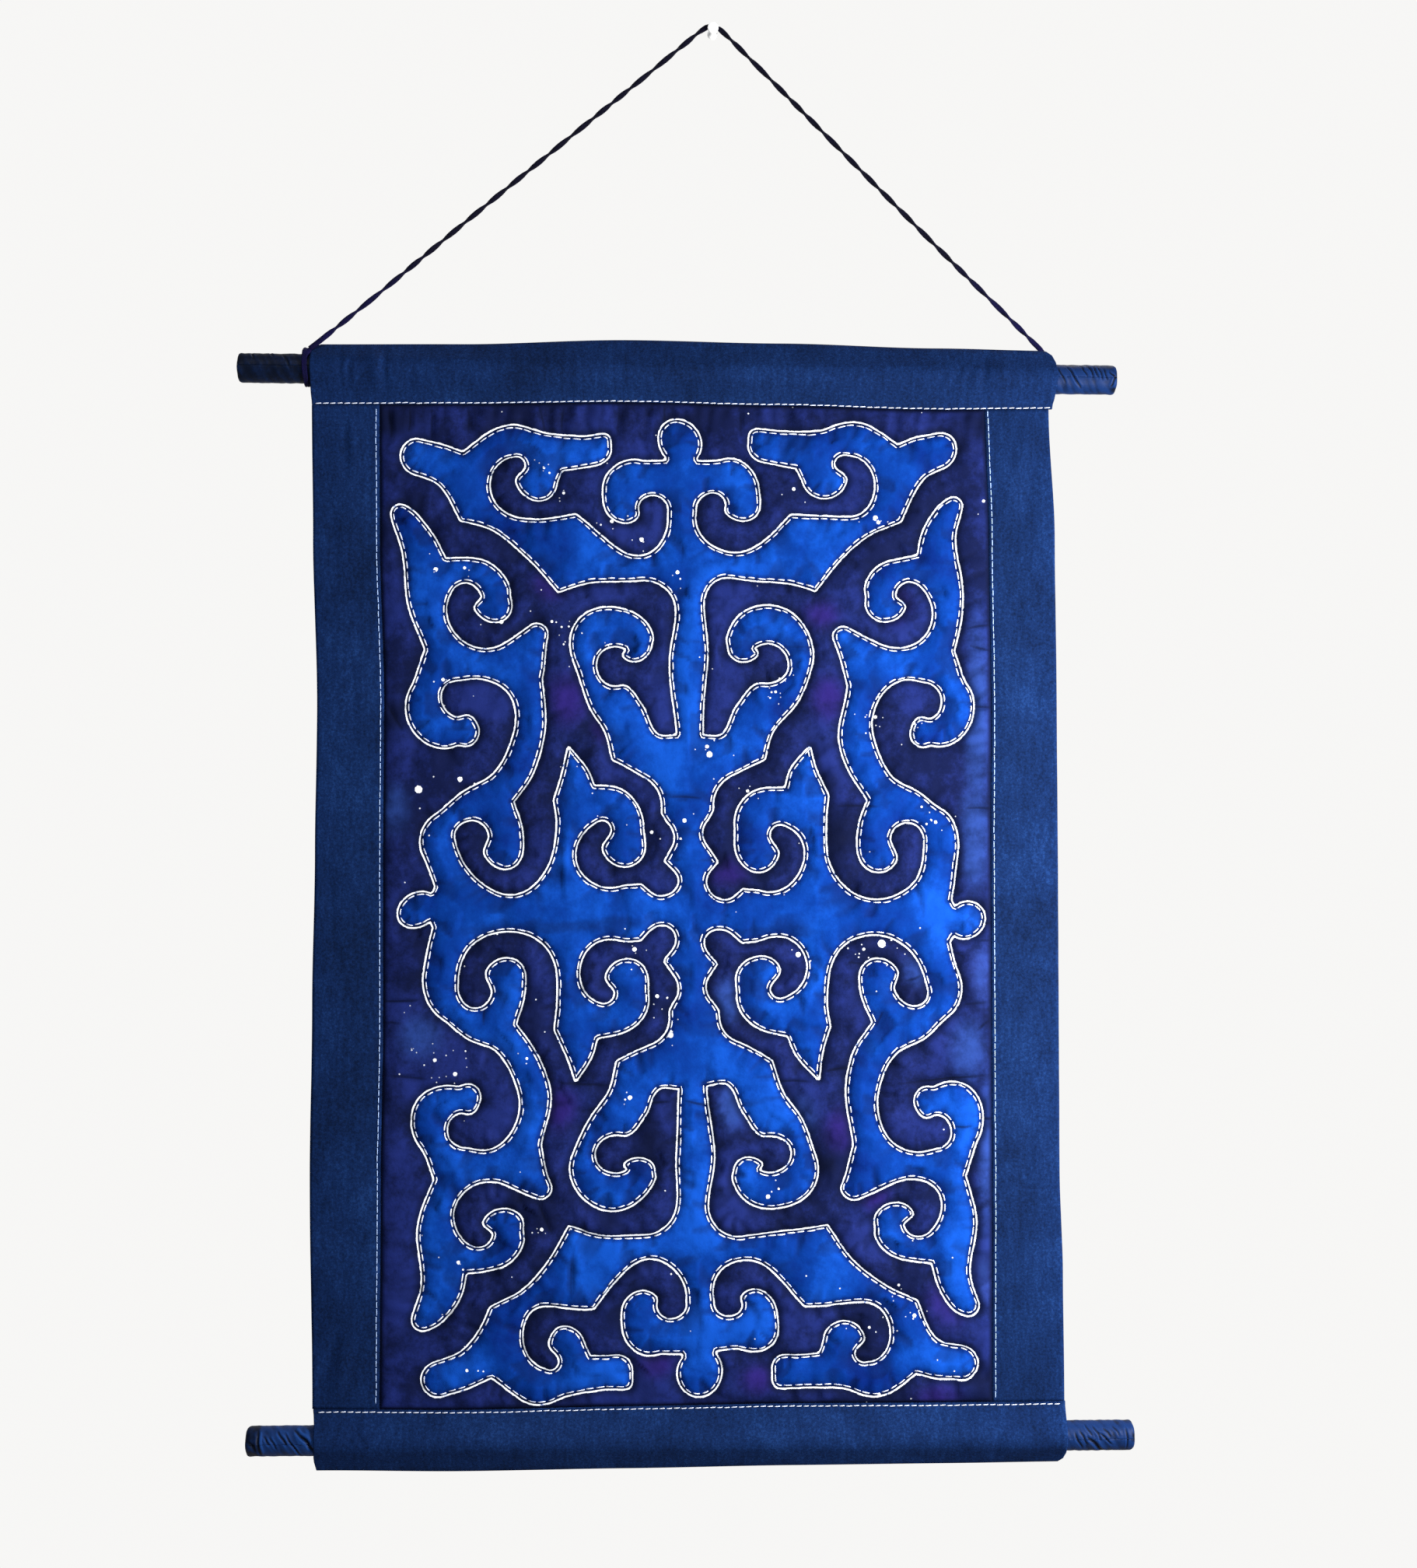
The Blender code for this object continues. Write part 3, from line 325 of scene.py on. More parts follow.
@dataclass(frozen=True)
class BatikDye:
    """Blue batik: a bright figure with a pale wax line on a dark ground, and wax splashes, with painted shade
    along its lines, creases and seams.
    """

    figure_deep: Colour = srgb(2, 26, 90)
    figure_royal: Colour = srgb(3, 43, 116)
    figure_light: Colour = srgb(9, 61, 148)
    ground_black: Colour = srgb(5, 9, 28)
    ground_dark: Colour = srgb(10, 17, 50)
    ground_navy: Colour = srgb(22, 33, 88)
    ground_violet: Colour = srgb(34, 22, 88)
    ground_slate: Colour = srgb(33, 57, 120)
    wax_white: Colour = srgb(216, 219, 222)
    wax_blue: Colour = srgb(96, 118, 168)
    line_middle: float = -0.72 * MM
    line_half: float = 0.41 * MM
    line_stray: float = 0.5 * MM
    line_grain: float = 2.6 * MM
    soft: float = 0.24 * MM
    drop_soft: float = 0.14 * MM
    full_drop: float = 0.7 * MM
    valley_middle: float = 0.35 * MM
    weave_pitch: float = 0.55 * MM
    weave_height: float = 0.012 * MM
    mottle_height: float = 0.12 * MM
    patchy_height: float = 0.5 * MM

    def figure(self, shader: BatikShader) -> Signal:
        """The bright figure's colour, with painted shade along its stitched edge and painted shadow at the
        stitch gaps.
        """
        light = shader.attribute("dye_light")
        tone = shader.broad * 0.64 + shader.patchy * 0.24 + shader.mottle * 0.12 + light * 0.1
        deep = shader.mixed(shader.rise(tone, 0.3, 0.5), self.figure_deep, self.figure_royal)
        colour = shader.mixed(shader.rise(tone, 0.46, 0.62), deep, self.figure_light)
        # painted shade: the figure darkens towards its stitched edge, where the valley's shade falls
        edge = shader.rise(shader.side + (shader.patchy - 0.5) * (3 * MM), 4.6 * MM, 0.9 * MM)
        colour = shader.mixed(edge * 0.7, colour, self.figure_deep)
        # painted shadow: near-black notches in the figure at the gaps between outline stitches
        return shader.mixed(shader.attribute("stitch_gap_shadow") * 0.6, colour, self.ground_black)

    def ground(self, shader: BatikShader) -> Signal:
        """The dark ground's colour: navy with violet, slate and near-black clouds, and painted shade beside
        the line.
        """
        tone = shader.broad * 0.45 + shader.patchy * 0.35 + shader.mottle * 0.2
        colour = shader.mixed(shader.rise(tone, 0.4, 0.6), self.ground_dark, self.ground_navy)
        uneven = shader.patchy * 1.6 + shader.mottle * 0.5 - 0.1
        dyes = {"violet": self.ground_violet, "slate": self.ground_slate, "black": self.ground_black}
        for name, dye in dyes.items():
            share = shader.rise(shader.attribute(f"dye_{name}") * uneven, 0.05, 0.95)
            colour = shader.mixed(share * 0.8, colour, dye)
        # painted shade: the ground darkens to near black beside the stitched line
        edge = shader.rise(shader.side + (shader.patchy - 0.5) * (4 * MM), -6 * MM, -1.2 * MM)
        return shader.mixed(edge * 0.7, colour, self.ground_black)

    def shaded(self, shader: BatikShader, colour: Signal) -> Signal:
        """A colour with painted shade in the hollows and along crease lines, and painted shadow at the
        panel's rim.
        """
        turn, offset, strength = shader.axes(shader.attribute("crease", "Vector"))
        off_crease = shader.z * shader.math("COSINE", turn) - shader.x * turn.sine() - offset
        # painted shade in the crease hollows and along crease lines, painted shadow under the seams at the
        # rim
        for share in (
            shader.attribute("hollow_shade") * 0.4,
            shader.rise(abs(off_crease), 1.1 * MM, 0.25 * MM) * strength * 0.75,
            shader.rise(shader.attribute("rim"), 3.2 * MM, 0.4 * MM) * 0.8,
        ):
            colour = shader.mixed(share, colour, self.ground_black)
        return colour

    def waxed(self, shader: BatikShader, colour: Signal) -> Signal:
        """A colour with the pale, broken line round the figure and painted shade in the valley beside it."""
        breaks = shader.clouds(shader.place, self.line_grain, 2, 0.6)
        away = abs(shader.side - self.line_middle + (breaks - 0.5) * self.line_stray)
        edge = self.line_half * (breaks * 0.9 + 0.58) - away
        line = shader.rise(edge, -self.soft / 2, self.soft / 2) * shader.rise(breaks, 0.24, 0.31)
        wax = shader.mixed(shader.rise(breaks, 0.28, 0.42), self.wax_blue, self.wax_white)
        # painted shade: a near-black strip in the stitched valley between the wax line and the stitches
        valley = shader.rise(abs(shader.side - self.valley_middle), 0.7 * MM, 0.25 * MM)
        return shader.mixed(valley * 0.8, shader.mixed(line, colour, wax), self.ground_black)

    def splashed(self, shader: BatikShader, colour: Signal) -> Signal:
        """A colour with the ragged wax drops on it, each face knowing its nearest drop."""
        centre_x, size, centre_z = shader.axes(shader.attribute("splash", "Vector"))
        ragged = shader.clouds(shader.place, 1.1 * MM, 1, 0.5) * 0.5 + 0.75
        across, up = shader.x - centre_x, shader.z - centre_z
        reach = shader.math("SQRT", across * across + up * up)
        drop = shader.rise(reach * ragged - size, self.drop_soft, -self.drop_soft)
        return shader.mixed(drop * shader.rise(size, 0.0, self.full_drop), colour, self.wax_white)

    def material(self) -> Material:
        """The dyed cotton's material. It reads the panel's attributes."""
        shader = BatikShader()
        inside = shader.rise(shader.side, -self.soft, self.soft)
        colour = shader.mixed(inside, self.ground(shader), self.figure(shader))
        colour = self.splashed(shader, self.waxed(shader, self.shaded(shader, colour)))
        height = shader.woven(shader.x, shader.z, self.weave_pitch) * self.weave_height
        height = height + shader.mottle * self.mottle_height + shader.patchy * self.patchy_height
        return shader.matt(colour, 0.8, height, 0.9, 0.03)


@dataclass(frozen=True)
class PlainCotton:
    """Plain navy cotton with a denim-like grain."""

    deep: Colour = srgb(6, 18, 43)
    middle: Colour = srgb(11, 30, 67)
    faded: Colour = srgb(22, 49, 97)
    weave_pitch: float = 0.6 * MM
    weave_height: float = 0.02 * MM
    grain_height: float = 0.22 * MM
    broad_height: float = 1.5 * MM

    def material(self) -> Material:
        """The plain cloth's material."""
        shader = Shader.of_material("plain cotton")
        place = shader.object_place()
        x, _, z = shader.axes(place)
        broad = shader.clouds(place, 45 * MM, 4, 0.6)
        grain = shader.clouds(place, 1.5 * MM, 4, 0.75)
        drawn_out = shader.node("CombineXYZ", {}, {"X": x, "Z": z * 0.2})
        streak = shader.clouds(drawn_out, 3.2 * MM, 3, 0.6)
        tone = broad * 0.3 + grain * 0.5 + streak * 0.2
        colour = shader.mixed(shader.rise(tone, 0.36, 0.54), self.deep, self.middle)
        colour = shader.mixed(shader.rise(tone, 0.5, 0.66) * 0.8, colour, self.faded)
        height = shader.woven(x, z, self.weave_pitch) * self.weave_height
        height = height + grain * self.grain_height + broad * self.broad_height
        return shader.matt(colour, 0.85, height, 0.8, 0.03)


@dataclass(frozen=True)
class RodWrap:
    """Glazed dark blue cloth, pulled tight round a rod in diagonal folds."""

    deep: Colour = srgb(2, 8, 24)
    middle: Colour = srgb(10, 33, 74)
    light: Colour = srgb(21, 58, 118)

    def material(self) -> Material:
        """The wrap's material, with painted shade in its creases and painted highlight on its folds. It reads
        the mesh's fold attribute, 0 in a crease and 1 on a fold.
        """
        shader = Shader.of_material("rod wrap")
        place = shader.object_place()
        patchy = shader.clouds(place, 8 * MM, 3, 0.6)
        fine = shader.clouds(place, 1.6 * MM, 3, 0.6)
        # painted light: the fold attribute darkens creases to deep and lightens folds to light
        tone = shader.attribute("fold") * 0.75 + patchy * 0.2 + fine * 0.15
        colour = shader.mixed(shader.rise(tone, 0.2, 0.52), self.deep, self.middle)
        colour = shader.mixed(shader.rise(tone, 0.6, 0.9) * 0.6, colour, self.light)
        return shader.matt(colour, 0.42 + patchy * 0.2, fine * (0.12 * MM), 0.7, 0.07)


@dataclass(frozen=True)
class WhiteThread:
    """White sewing cotton, its plies twisted."""

    name: str = "white thread"
    light: Colour = srgb(220, 224, 232)
    shade: Colour = srgb(134, 146, 180)
    ply_pitch: float = 0.9

    def material(self) -> Material:
        """The thread's material. It reads the mesh's UV map, in millimetres along and shares round."""
        shader = Shader.of_material(self.name)
        along, around = shader.uv("thread")
        ply = (along * (TURN / self.ply_pitch) + around * TURN).sine() * 0.5 + 0.5
        worn = shader.clouds(shader.object_place(), 2.5 * MM, 2, 0.6)
        colour = shader.mixed(ply * 0.35 + worn * 0.3, self.light, self.shade)
        return shader.matt(colour, 0.6, ply * (0.1 * MM), 0.7, 0.3)


@dataclass(frozen=True)
class FlatBraid:
    """The cord's dark indigo braid, with fine ribs along it, bluer over the pin."""

    deep: Colour = srgb(2, 2, 10)
    light: Colour = srgb(9, 7, 32)
    indigo: Colour = srgb(17, 12, 72)
    rib: float = 0.55

    def material(self) -> Material:
        """The braid's material. It reads the mesh's UV map, in millimetres along and across."""
        shader = Shader.of_material("cord braid")
        along, across = shader.uv("braid")
        slant = shader.woven(along + across, along - across, self.rib)
        place = shader.object_place()
        worn = shader.clouds(place, 6 * MM, 3, 0.6)
        light = shader.mixed(shader.rise(shader.axes(place)[2], -0.13, -0.19), self.light, self.indigo)
        colour = shader.mixed(slant * 0.25 + worn * 0.7, self.deep, light)
        return shader.matt(colour, 0.6, slant * (0.08 * MM), 0.8, 0.06)


@dataclass(frozen=True)
class PinPlastic:
    """Glossy white plastic with faint handling marks."""

    clean: Colour = srgb(236, 236, 234)
    handled: Colour = srgb(206, 205, 200)

    def material(self) -> Material:
        """The pin's material."""
        shader = Shader.of_material("white plastic")
        marks = shader.clouds(shader.object_place(), 2.4 * MM, 4, 0.6)
        colour = shader.mixed(shader.rise(marks, 0.5, 0.75) * 0.5, self.clean, self.handled)
        coat = {"Coat Weight": 0.3, "Coat Roughness": 0.1}
        return shader.finished({"Base Color": colour, "Roughness": 0.22 + marks * 0.16} | coat)


# Mesh words


def named_object(name: str, bm: BMesh, material: Material, turn_out: bool = True) -> Object:
    """Makes a smooth-shaded object of a bmesh.

    Args:
        name: The object's name.
        bm: The finished bmesh, which is freed.
        material: The finish.
        turn_out: Whether to recalculate the normals outwards.

    Returns:
        The linked object.
    """
    if turn_out:
        bmesh.ops.recalc_face_normals(bm, faces=bm.faces)
    mesh = bpy.data.meshes.new(name)
    bm.to_mesh(mesh)
    bm.free()
    mesh.shade_smooth()
    mesh.materials.append(material)
    made = bpy.data.objects.new(name, mesh)
    bpy.context.scene.collection.objects.link(made)
    return made


def shaped_grid(bm: BMesh, columns: int, rows: int, shape: Shape) -> list[bmesh.types.BMVert]:
    """A grid bent to a shape.

    Args:
        bm: The bmesh that gets the grid.
        columns: How many faces run along u.
        rows: How many faces run along v.
        shape: Gives places, as an array of N by 3, for arrays of u and v from 0 to 1.

    Returns:
        The grid's vertices.
    """
    made = bmesh.ops.create_grid(bm, x_segments=columns, y_segments=rows, size=0.5)["verts"]
    flat = np.array([vert.co[:2] for vert in made]) + 0.5
    for vert, place in zip(made, shape(flat[:, 0], flat[:, 1])):
        vert.co = place
    return made


def rim_edges(bm: BMesh) -> list[bmesh.types.BMEdge]:
    """The edges round a bmesh's openings."""
    return [edge for edge in bm.edges if edge.is_boundary]


def fill_ends(bm: BMesh) -> None:
    """Closes a tube's two ends, each with a ring of triangles to its middle."""
    caps = bmesh.ops.holes_fill(bm, edges=rim_edges(bm), sides=0)["faces"]
    bmesh.ops.poke(bm, faces=caps)


def write_uv(bm: BMesh, name: str, flat: Sequence[tuple[float, float]]) -> None:
    """Gives a bmesh a UV map with a place for each vertex by its number."""
    layer = bm.loops.layers.uv.new(name)
    bm.verts.index_update()
    for face in bm.faces:
        for loop in face.loops:
            loop[layer].uv = flat[loop.vert.index]


def face_values(mesh: bpy.types.Mesh, name: str) -> Array:
    """The centres or the normals of a mesh's faces."""
    found = np.zeros(len(mesh.polygons) * 3)
    mesh.polygons.foreach_get(name, found)
    return found.reshape(-1, 3)


@dataclass
class PhotoCamera:
    """The photograph's camera, and the way from its pixels to the cloth."""

    place: Vector = field(default_factory=lambda: Vector((-0.0377, -1.2651, -0.4879)))
    tilt: float = math.radians(1.18)
    roll: float = math.radians(0.13)
    swing: float = math.radians(-1.55)
    focal_pixels: float = 2660.0
    width: int = 1822
    height: int = 2016
    sensor: float = 36.0

    def turn(self) -> Matrix:
        """The camera's axes as columns: right, forward, up."""
        swing = Matrix.Rotation(self.swing, 3, "Z")
        return swing @ Matrix.Rotation(self.tilt, 3, "X") @ Matrix.Rotation(self.roll, 3, "Y")

    def on_cloth(self, pixel_x: float, pixel_y: float) -> tuple[float, float]:
        """Where a pixel's ray meets the plane of the cloth, as (x, z).

        Args:
            pixel_x: The pixel's column in the photograph.
            pixel_y: Its row.

        Returns:
            The place in the frame, in metres.
        """
        right = (pixel_x - self.width / 2) / self.focal_pixels
        up = (self.height / 2 - pixel_y) / self.focal_pixels
        ray = self.turn() @ Vector((right, 1, up))
        met = self.place + ray * ((CLOTH_Y - self.place.y) / ray.y)
        return met.x, met.z

    def build(self) -> None:
        """Makes the camera and sets it as the scene's."""
        turn = self.turn()
        data = bpy.data.cameras.new("photo camera")
        data.sensor_width = self.sensor
        data.lens = self.focal_pixels * self.sensor / max(self.width, self.height)
        camera = bpy.data.objects.new("photo camera", data)
        columns = (turn.col[0], turn.col[2], -turn.col[1])
        camera.matrix_world = Matrix.Translation(self.place) @ Matrix(columns).transposed().to_4x4()
        bpy.context.scene.collection.objects.link(camera)
        bpy.context.scene.camera = camera


CAMERA = PhotoCamera()


@dataclass
class Seen:
    """Something placed by its middle in the photograph."""

    pixel_x: float
    pixel_y: float

    @property
    def middle(self) -> tuple[float, float]:
        """Its (x, z) on the cloth."""
        return CAMERA.on_cloth(self.pixel_x, self.pixel_y)


# Cloth

# how far each edge strays as (share of the way, millimetres): across from the left, down from the top
EDGE_WAVES = {
    "top edge": ((0, 0), (0.2, 0.4), (0.42, 3.3), (0.63, 1.6), (0.84, -1), (1, -2.3)),
    "top seam": ((0, -0.9), (0.2, -0.4), (0.42, 1), (0.63, -0.8), (0.84, -3), (1, -2.3)),
    "bottom seam": ((0, 0.5), (0.2, -0.7), (0.42, 0.5), (0.63, 1.3), (0.84, 0.9), (1, 1)),
    "bottom edge": ((0, -0.9), (0.2, -2.2), (0.42, -1.5), (0.63, -0.7), (0.84, -0.5), (1, -0.1)),
    "left edge": ((0, -0.8), (0.13, 0), (0.3, 2.5), (0.45, 1.3), (0.6, -0.2), (0.77, -1.4), (1, 0.5)),
    "right edge": ((0, -2.2), (0.13, 1.2), (0.3, 1.9), (0.45, 2.1), (0.77, 2), (0.87, 3.6), (1, 4)),
    "left seam": ((0, 0), (0.13, 0.3), (0.3, 2.9), (0.45, 2.4), (0.62, 2.5), (0.77, 1.2), (1, 0.6)),
    "right seam": ((0, -1.5), (0.13, 0.6), (0.3, 1.6), (0.45, 0.9), (0.77, 0.8), (1, 0.2)),
}


@dataclass
class Cloth:
    """Where the cloth hangs and how uneven its cut and sewn edges are."""

    middle_x: float = -18 * MM
    middle_y: float = CLOTH_Y
    top_z: float = -196 * MM
    panel_width: float = 368 * MM
    panel_height: float = 603.6 * MM
    border_width: float = 40 * MM
    top_sleeve_height: float = 36 * MM
    bottom_sleeve_height: float = 35.5 * MM
    bottom_sleeve_shift: float = 2.7 * MM
    sleeve_length: float = 452 * MM
    seam_thickness: float = 2.2 * MM
    gap: float = 0.3 * MM
    sway_depth: float = 1.2 * MM
    sway_steady: float = 0.6
    sway_waves: float = 1.2
    sway_phase: float = 0.7
    sway_curl: float = 1.4

    def __post_init__(self) -> None:
        """Works out the panel's edges and what differs between the two sleeves."""
        self.panel_top = self.top_z - self.top_sleeve_height
        self.panel_bottom = self.panel_top - self.panel_height
        self.panel_middle = (self.panel_top + self.panel_bottom) / 2
        self.half_panel = self.panel_width / 2
        self.half_cloth = self.half_panel + self.border_width
        self.seam_z = {Level.TOP: self.panel_top, Level.BOTTOM: self.panel_bottom}
        self.sleeve_height = {Level.TOP: self.top_sleeve_height, Level.BOTTOM: self.bottom_sleeve_height}
        self.sleeve_shift = {Level.TOP: 0.0, Level.BOTTOM: self.bottom_sleeve_shift}

    def across(self, name: str, x: Array) -> Array:
        """How far an edge that runs across is raised at x, from the cloth's middle."""
        return eased(EDGE_WAVES[name], np.asarray(x) / self.sleeve_length + 0.5) * MM

    def down(self, name: str, z: Array) -> Array:
        """How far an edge that runs down is moved right at height z."""
        return eased(EDGE_WAVES[name], (self.panel_top - np.asarray(z)) / self.panel_height) * MM

    def strip(self, uprights: Sequence[tuple[float, str]], share: Array, level: Array) -> Array:
        """Places on a strip of cloth between two uprights, from the bottom seam to the top one.

        Args:
            uprights: Each upright's x from the cloth's middle and the name of its waves.
            share: How far across the strip from the first upright.
            level: How far up it.

        Returns:
            The (x, z) places.
        """
        upright_z = self.panel_bottom + level * self.panel_height
        first, second = (x + self.down(name, upright_z) for x, name in uprights)
        x = first + (second - first) * share
        top = self.panel_top + self.across("top seam", x)
        bottom = self.panel_bottom + self.across("bottom seam", x)
        return np.column_stack((x + self.middle_x, bottom + (top - bottom) * level))

    def hung_y(self, x: Array, z: Array) -> Array:
        """The y of the hanging cloth's middle at x, from its own middle, and z."""
        share = np.clip((self.panel_top - z) / self.panel_height, 0, 1)
        wave = np.cos(TURN * self.sway_waves * x / self.panel_width + self.sway_phase)
        curl = self.sway_curl * (x / self.half_cloth) ** 4
        steady = self.sway_steady + (1 - self.sway_steady) * wave
        return self.middle_y - self.sway_depth * np.sin(math.pi * share) * (steady - curl)


# Ornament

ARC = "arc"
CORNER = "corner"
PASS = "pass"


@dataclass
class Ornament:
    """The fourfold ram's-horn scroll: a quarter of arcs, corners and passing points, mirrored."""

    turn: float = math.radians(1.2)
    centre: tuple[float, float] = (3 * MM, -4.5 * MM)
    wobble: float = 1.1 * MM
    wobble_length: float = 83 * MM
    # axis that it moves, waves along x, waves along z, phase
    wobble_rows: tuple = ((0, 0.6, 1, 0.4), (1, 1.15, -0.5, 2.1))
    arc_turn: float = math.radians(48)
    # u runs out from the stem and v up from the bar, in millimetres. An arc has its centre, radius
    # and start and end angles; a corner is sharp; a pass is a smooth point between.
    quarter_rows: tuple = (
        # the top knob, the crossbar's horn and its inlet
        (ARC, 0, 284, 13, 90, -45), (CORNER, 9.5, 272), (ARC, 29, 254.5, 17, 100, 5),
        (ARC, 35, 246, 11, -5, -140), (ARC, 17, 243, 9.5, 10, 165), (ARC, 30, 237.5, 22.5, 175, 300),
        (CORNER, 65, 240),
        # the wing, out along its top and back underneath
        (ARC, 98.5, 257, 18.5, -85, 80), (ARC, 97.5, 270.5, 5.5, 95, 190),
        (ARC, 87, 263, 12.5, -15, -165), (CORNER, 71, 269), (PASS, 60, 270),
        (ARC, 51, 279, 8, -110, -190), (ARC, 47.5, 285, 4, -190, -270), (PASS, 62, 288.5),
        (ARC, 101, 268, 26, 112, 62), (CORNER, 131, 280), (PASS, 143, 284.5),
        (ARC, 159, 277, 10, 100, -75), (PASS, 146, 261), (CORNER, 133, 238), (PASS, 112, 230),
        (PASS, 93, 214), (CORNER, 78, 193),
        # the heart's inlet, the stem and the heart's horn
        (PASS, 60, 198.5), (ARC, 29, 181, 20.5, 85, 178), (PASS, 11, 150), (CORNER, 7.5, 106),
        (PASS, 21, 106), (PASS, 31, 123), (ARC, 46.5, 148.5, 13, -100, 125),
        (ARC, 33.5, 160.5, 9.5, -40, -175), (ARC, 48, 158.5, 25.5, 165, -20), (PASS, 63, 126),
        (PASS, 51, 108), (CORNER, 45, 91),
        # the stem's foot and the cross's inlet
        (ARC, 32, 65, 17.5, 115, 178), (CORNER, 14.5, 60), (ARC, 20.5, 46, 12.5, 140, 215),
        (CORNER, 15.5, 31), (ARC, 17, 18, 9.5, 165, 290), (CORNER, 30, 17),
        (ARC, 48.5, 35, 20.5, -110, 60), (ARC, 53, 49, 6, 80, 195),
        # the spear
        (ARC, 40.5, 41, 12.5, -20, -175), (ARC, 48, 54, 20, 185, 105), (CORNER, 57, 75), (PASS, 61, 86),
        (CORNER, 72, 100), (PASS, 75.5, 86), (CORNER, 82, 69),
        # the bar's inlet and the column's inner side
        (PASS, 80, 55), (ARC, 111.5, 41.5, 31, 190, 315), (ARC, 130.5, 44.5, 11.5, -5, 165),
        (ARC, 112, 39.5, 12, -30, -170), (PASS, 101, 52), (CORNER, 107, 67), (PASS, 94, 87),
        (PASS, 87.5, 110), (CORNER, 92, 139), (ARC, 93.5, 167, 6, 200, 60),
        # the side's inlet, lobe and spear
        (ARC, 124.5, 181, 22, -120, 40), (ARC, 132.5, 190, 9.5, 70, 170),
        (ARC, 118, 188, 11.5, -25, -190), (ARC, 126, 193, 20, 165, 100), (CORNER, 143, 214),
        (PASS, 149, 229), (PASS, 159, 243), (ARC, 168, 242.5, 5.5, 115, -10), (PASS, 168.5, 222),
        # the column's outer side, the middle curl and the bar's end
        (PASS, 167.5, 190), (CORNER, 157, 158), (ARC, 149, 123, 21.5, 35, -110),
        (ARC, 136, 110, 8, -95, -200), (PASS, 133, 119), (ARC, 138.5, 129.5, 11.5, -75, 85),
        (ARC, 131.5, 115, 27.5, 100, 200), (PASS, 118.5, 83), (PASS, 136, 73),
        (ARC, 141, 42, 21.5, 60, -15), (CORNER, 156, 12), (ARC, 166, 0, 10.5, 130, 0),
    )
    # place x and z, reach, and shift in x and z, in millimetres from the ornament's middle
    pulls: tuple = (
        (-45, 165, 60, 5, 0), (-125, 140, 60, 3, 2), (125, 130, 65, 8, -6), (110, 240, 45, 2, -4),
        (168, 240, 30, -5, -2), (-150, 0, 40, 3, 5), (150, 0, 55, 0, -10), (45, 20, 40, 2, -5),
        (130, -125, 60, 6, -9), (-45, -185, 50, -2, 6), (45, -185, 50, -3, 4), (0, -265, 50, 0, 8),
        (-115, -255, 50, 9, 4), (165, -240, 35, -7, 0),
    )

    def arc_points(self, row: tuple, step: float) -> tuple[Array, Array, Array]:
        """Points along an arc row, with the headings at its two ends."""
        _, u, v, radius, start, end = row
        turn = math.radians(abs(end - start))
        count = max(2, math.ceil(turn * radius / step), math.ceil(turn / self.arc_turn))
        angles = np.radians(np.linspace(start, end, count + 1))
        points = np.column_stack((u + radius * np.cos(angles), v + radius * np.sin(angles)))
        sign = 1 if end > start else -1
        headings = sign * np.column_stack((-np.sin(angles), np.cos(angles)))
        return points, headings[0], headings[-1]

    def heading(self, parts: list, index: int, leaving: bool) -> Array:
        """The direction of the outline as it leaves or reaches a row's points."""
        points, first, last = parts[index]
        kind = self.quarter_rows[index][0]
        if kind == ARC:
            return last if leaving else first
        start = parts[index - 1][0][-1] if kind == PASS or not leaving else points[-1]
        end = parts[index + 1][0][0] if kind == PASS or leaving else points[0]
        return (end - start) / np.hypot(*(end - start))

    def quarter(self, step: float) -> Array:
        """The quarter's outline in millimetres, with a point every step or so."""
        parts = []
        for row in self.quarter_rows:
            lone = (np.array([row[1:3]], float), None, None)
            parts.append(self.arc_points(row, step) if row[0] == ARC else lone)
        outline = list(parts[0][0])
        for index in range(1, len(parts)):
            here, there = parts[index - 1][0][-1], parts[index][0][0]
            length = np.hypot(*(there - here))
            leave = length * self.heading(parts, index - 1, True)
            reach = length * self.heading(parts, index, False)
            count = math.ceil(length / step)
            for t in np.arange(1, count) / count:
                outline.append(
                    (2 * t**3 - 3 * t**2 + 1) * here
                    + (t**3 - 2 * t**2 + t) * leave
                    + (3 * t**2 - 2 * t**3) * there
                    + (t**3 - t**2) * reach
                )
            outline.extend(parts[index][0])
        return np.array(outline)

    def outline(self, step: float, cloth: Cloth) -> Array:
        """The whole outline on the panel as a closed loop of (x, z), with the figure on its right.

        Args:
            step: The distance between its points, in millimetres.
            cloth: The cloth that it lies on.

        Returns:
            The loop's points, in metres in the frame.
        """
        quarter = self.quarter(step)
        lower = (quarter * (1, -1))[::-1][1:]
        left_lower = (quarter * (-1, -1))[1:]
        left_upper = (quarter * (-1, 1))[::-1][1:-1]
        points = np.concatenate((quarter, lower, left_lower, left_upper))
        moved = points.copy()
        for x, z, reach, shift_x, shift_z in self.pulls:
            weight = np.exp(-((points[:, 0] - x) ** 2 + (points[:, 1] - z) ** 2) / reach**2)
            moved += weight[:, None] * np.array([shift_x, shift_z])
        moved *= MM
        phase = TURN * moved / self.wobble_length
        for axis, along_x, along_z, start in self.wobble_rows:
            moved[:, axis] += self.wobble * np.sin(along_x * phase[:, 0] + along_z * phase[:, 1] + start)
        cos, sin = math.cos(self.turn), math.sin(self.turn)
        x = self.centre[0] + cos * moved[:, 0] - sin * moved[:, 1]
        z = self.centre[1] + sin * moved[:, 0] + cos * moved[:, 1]
        return np.column_stack((x + cloth.middle_x, z + cloth.panel_middle))


# Quilted panel


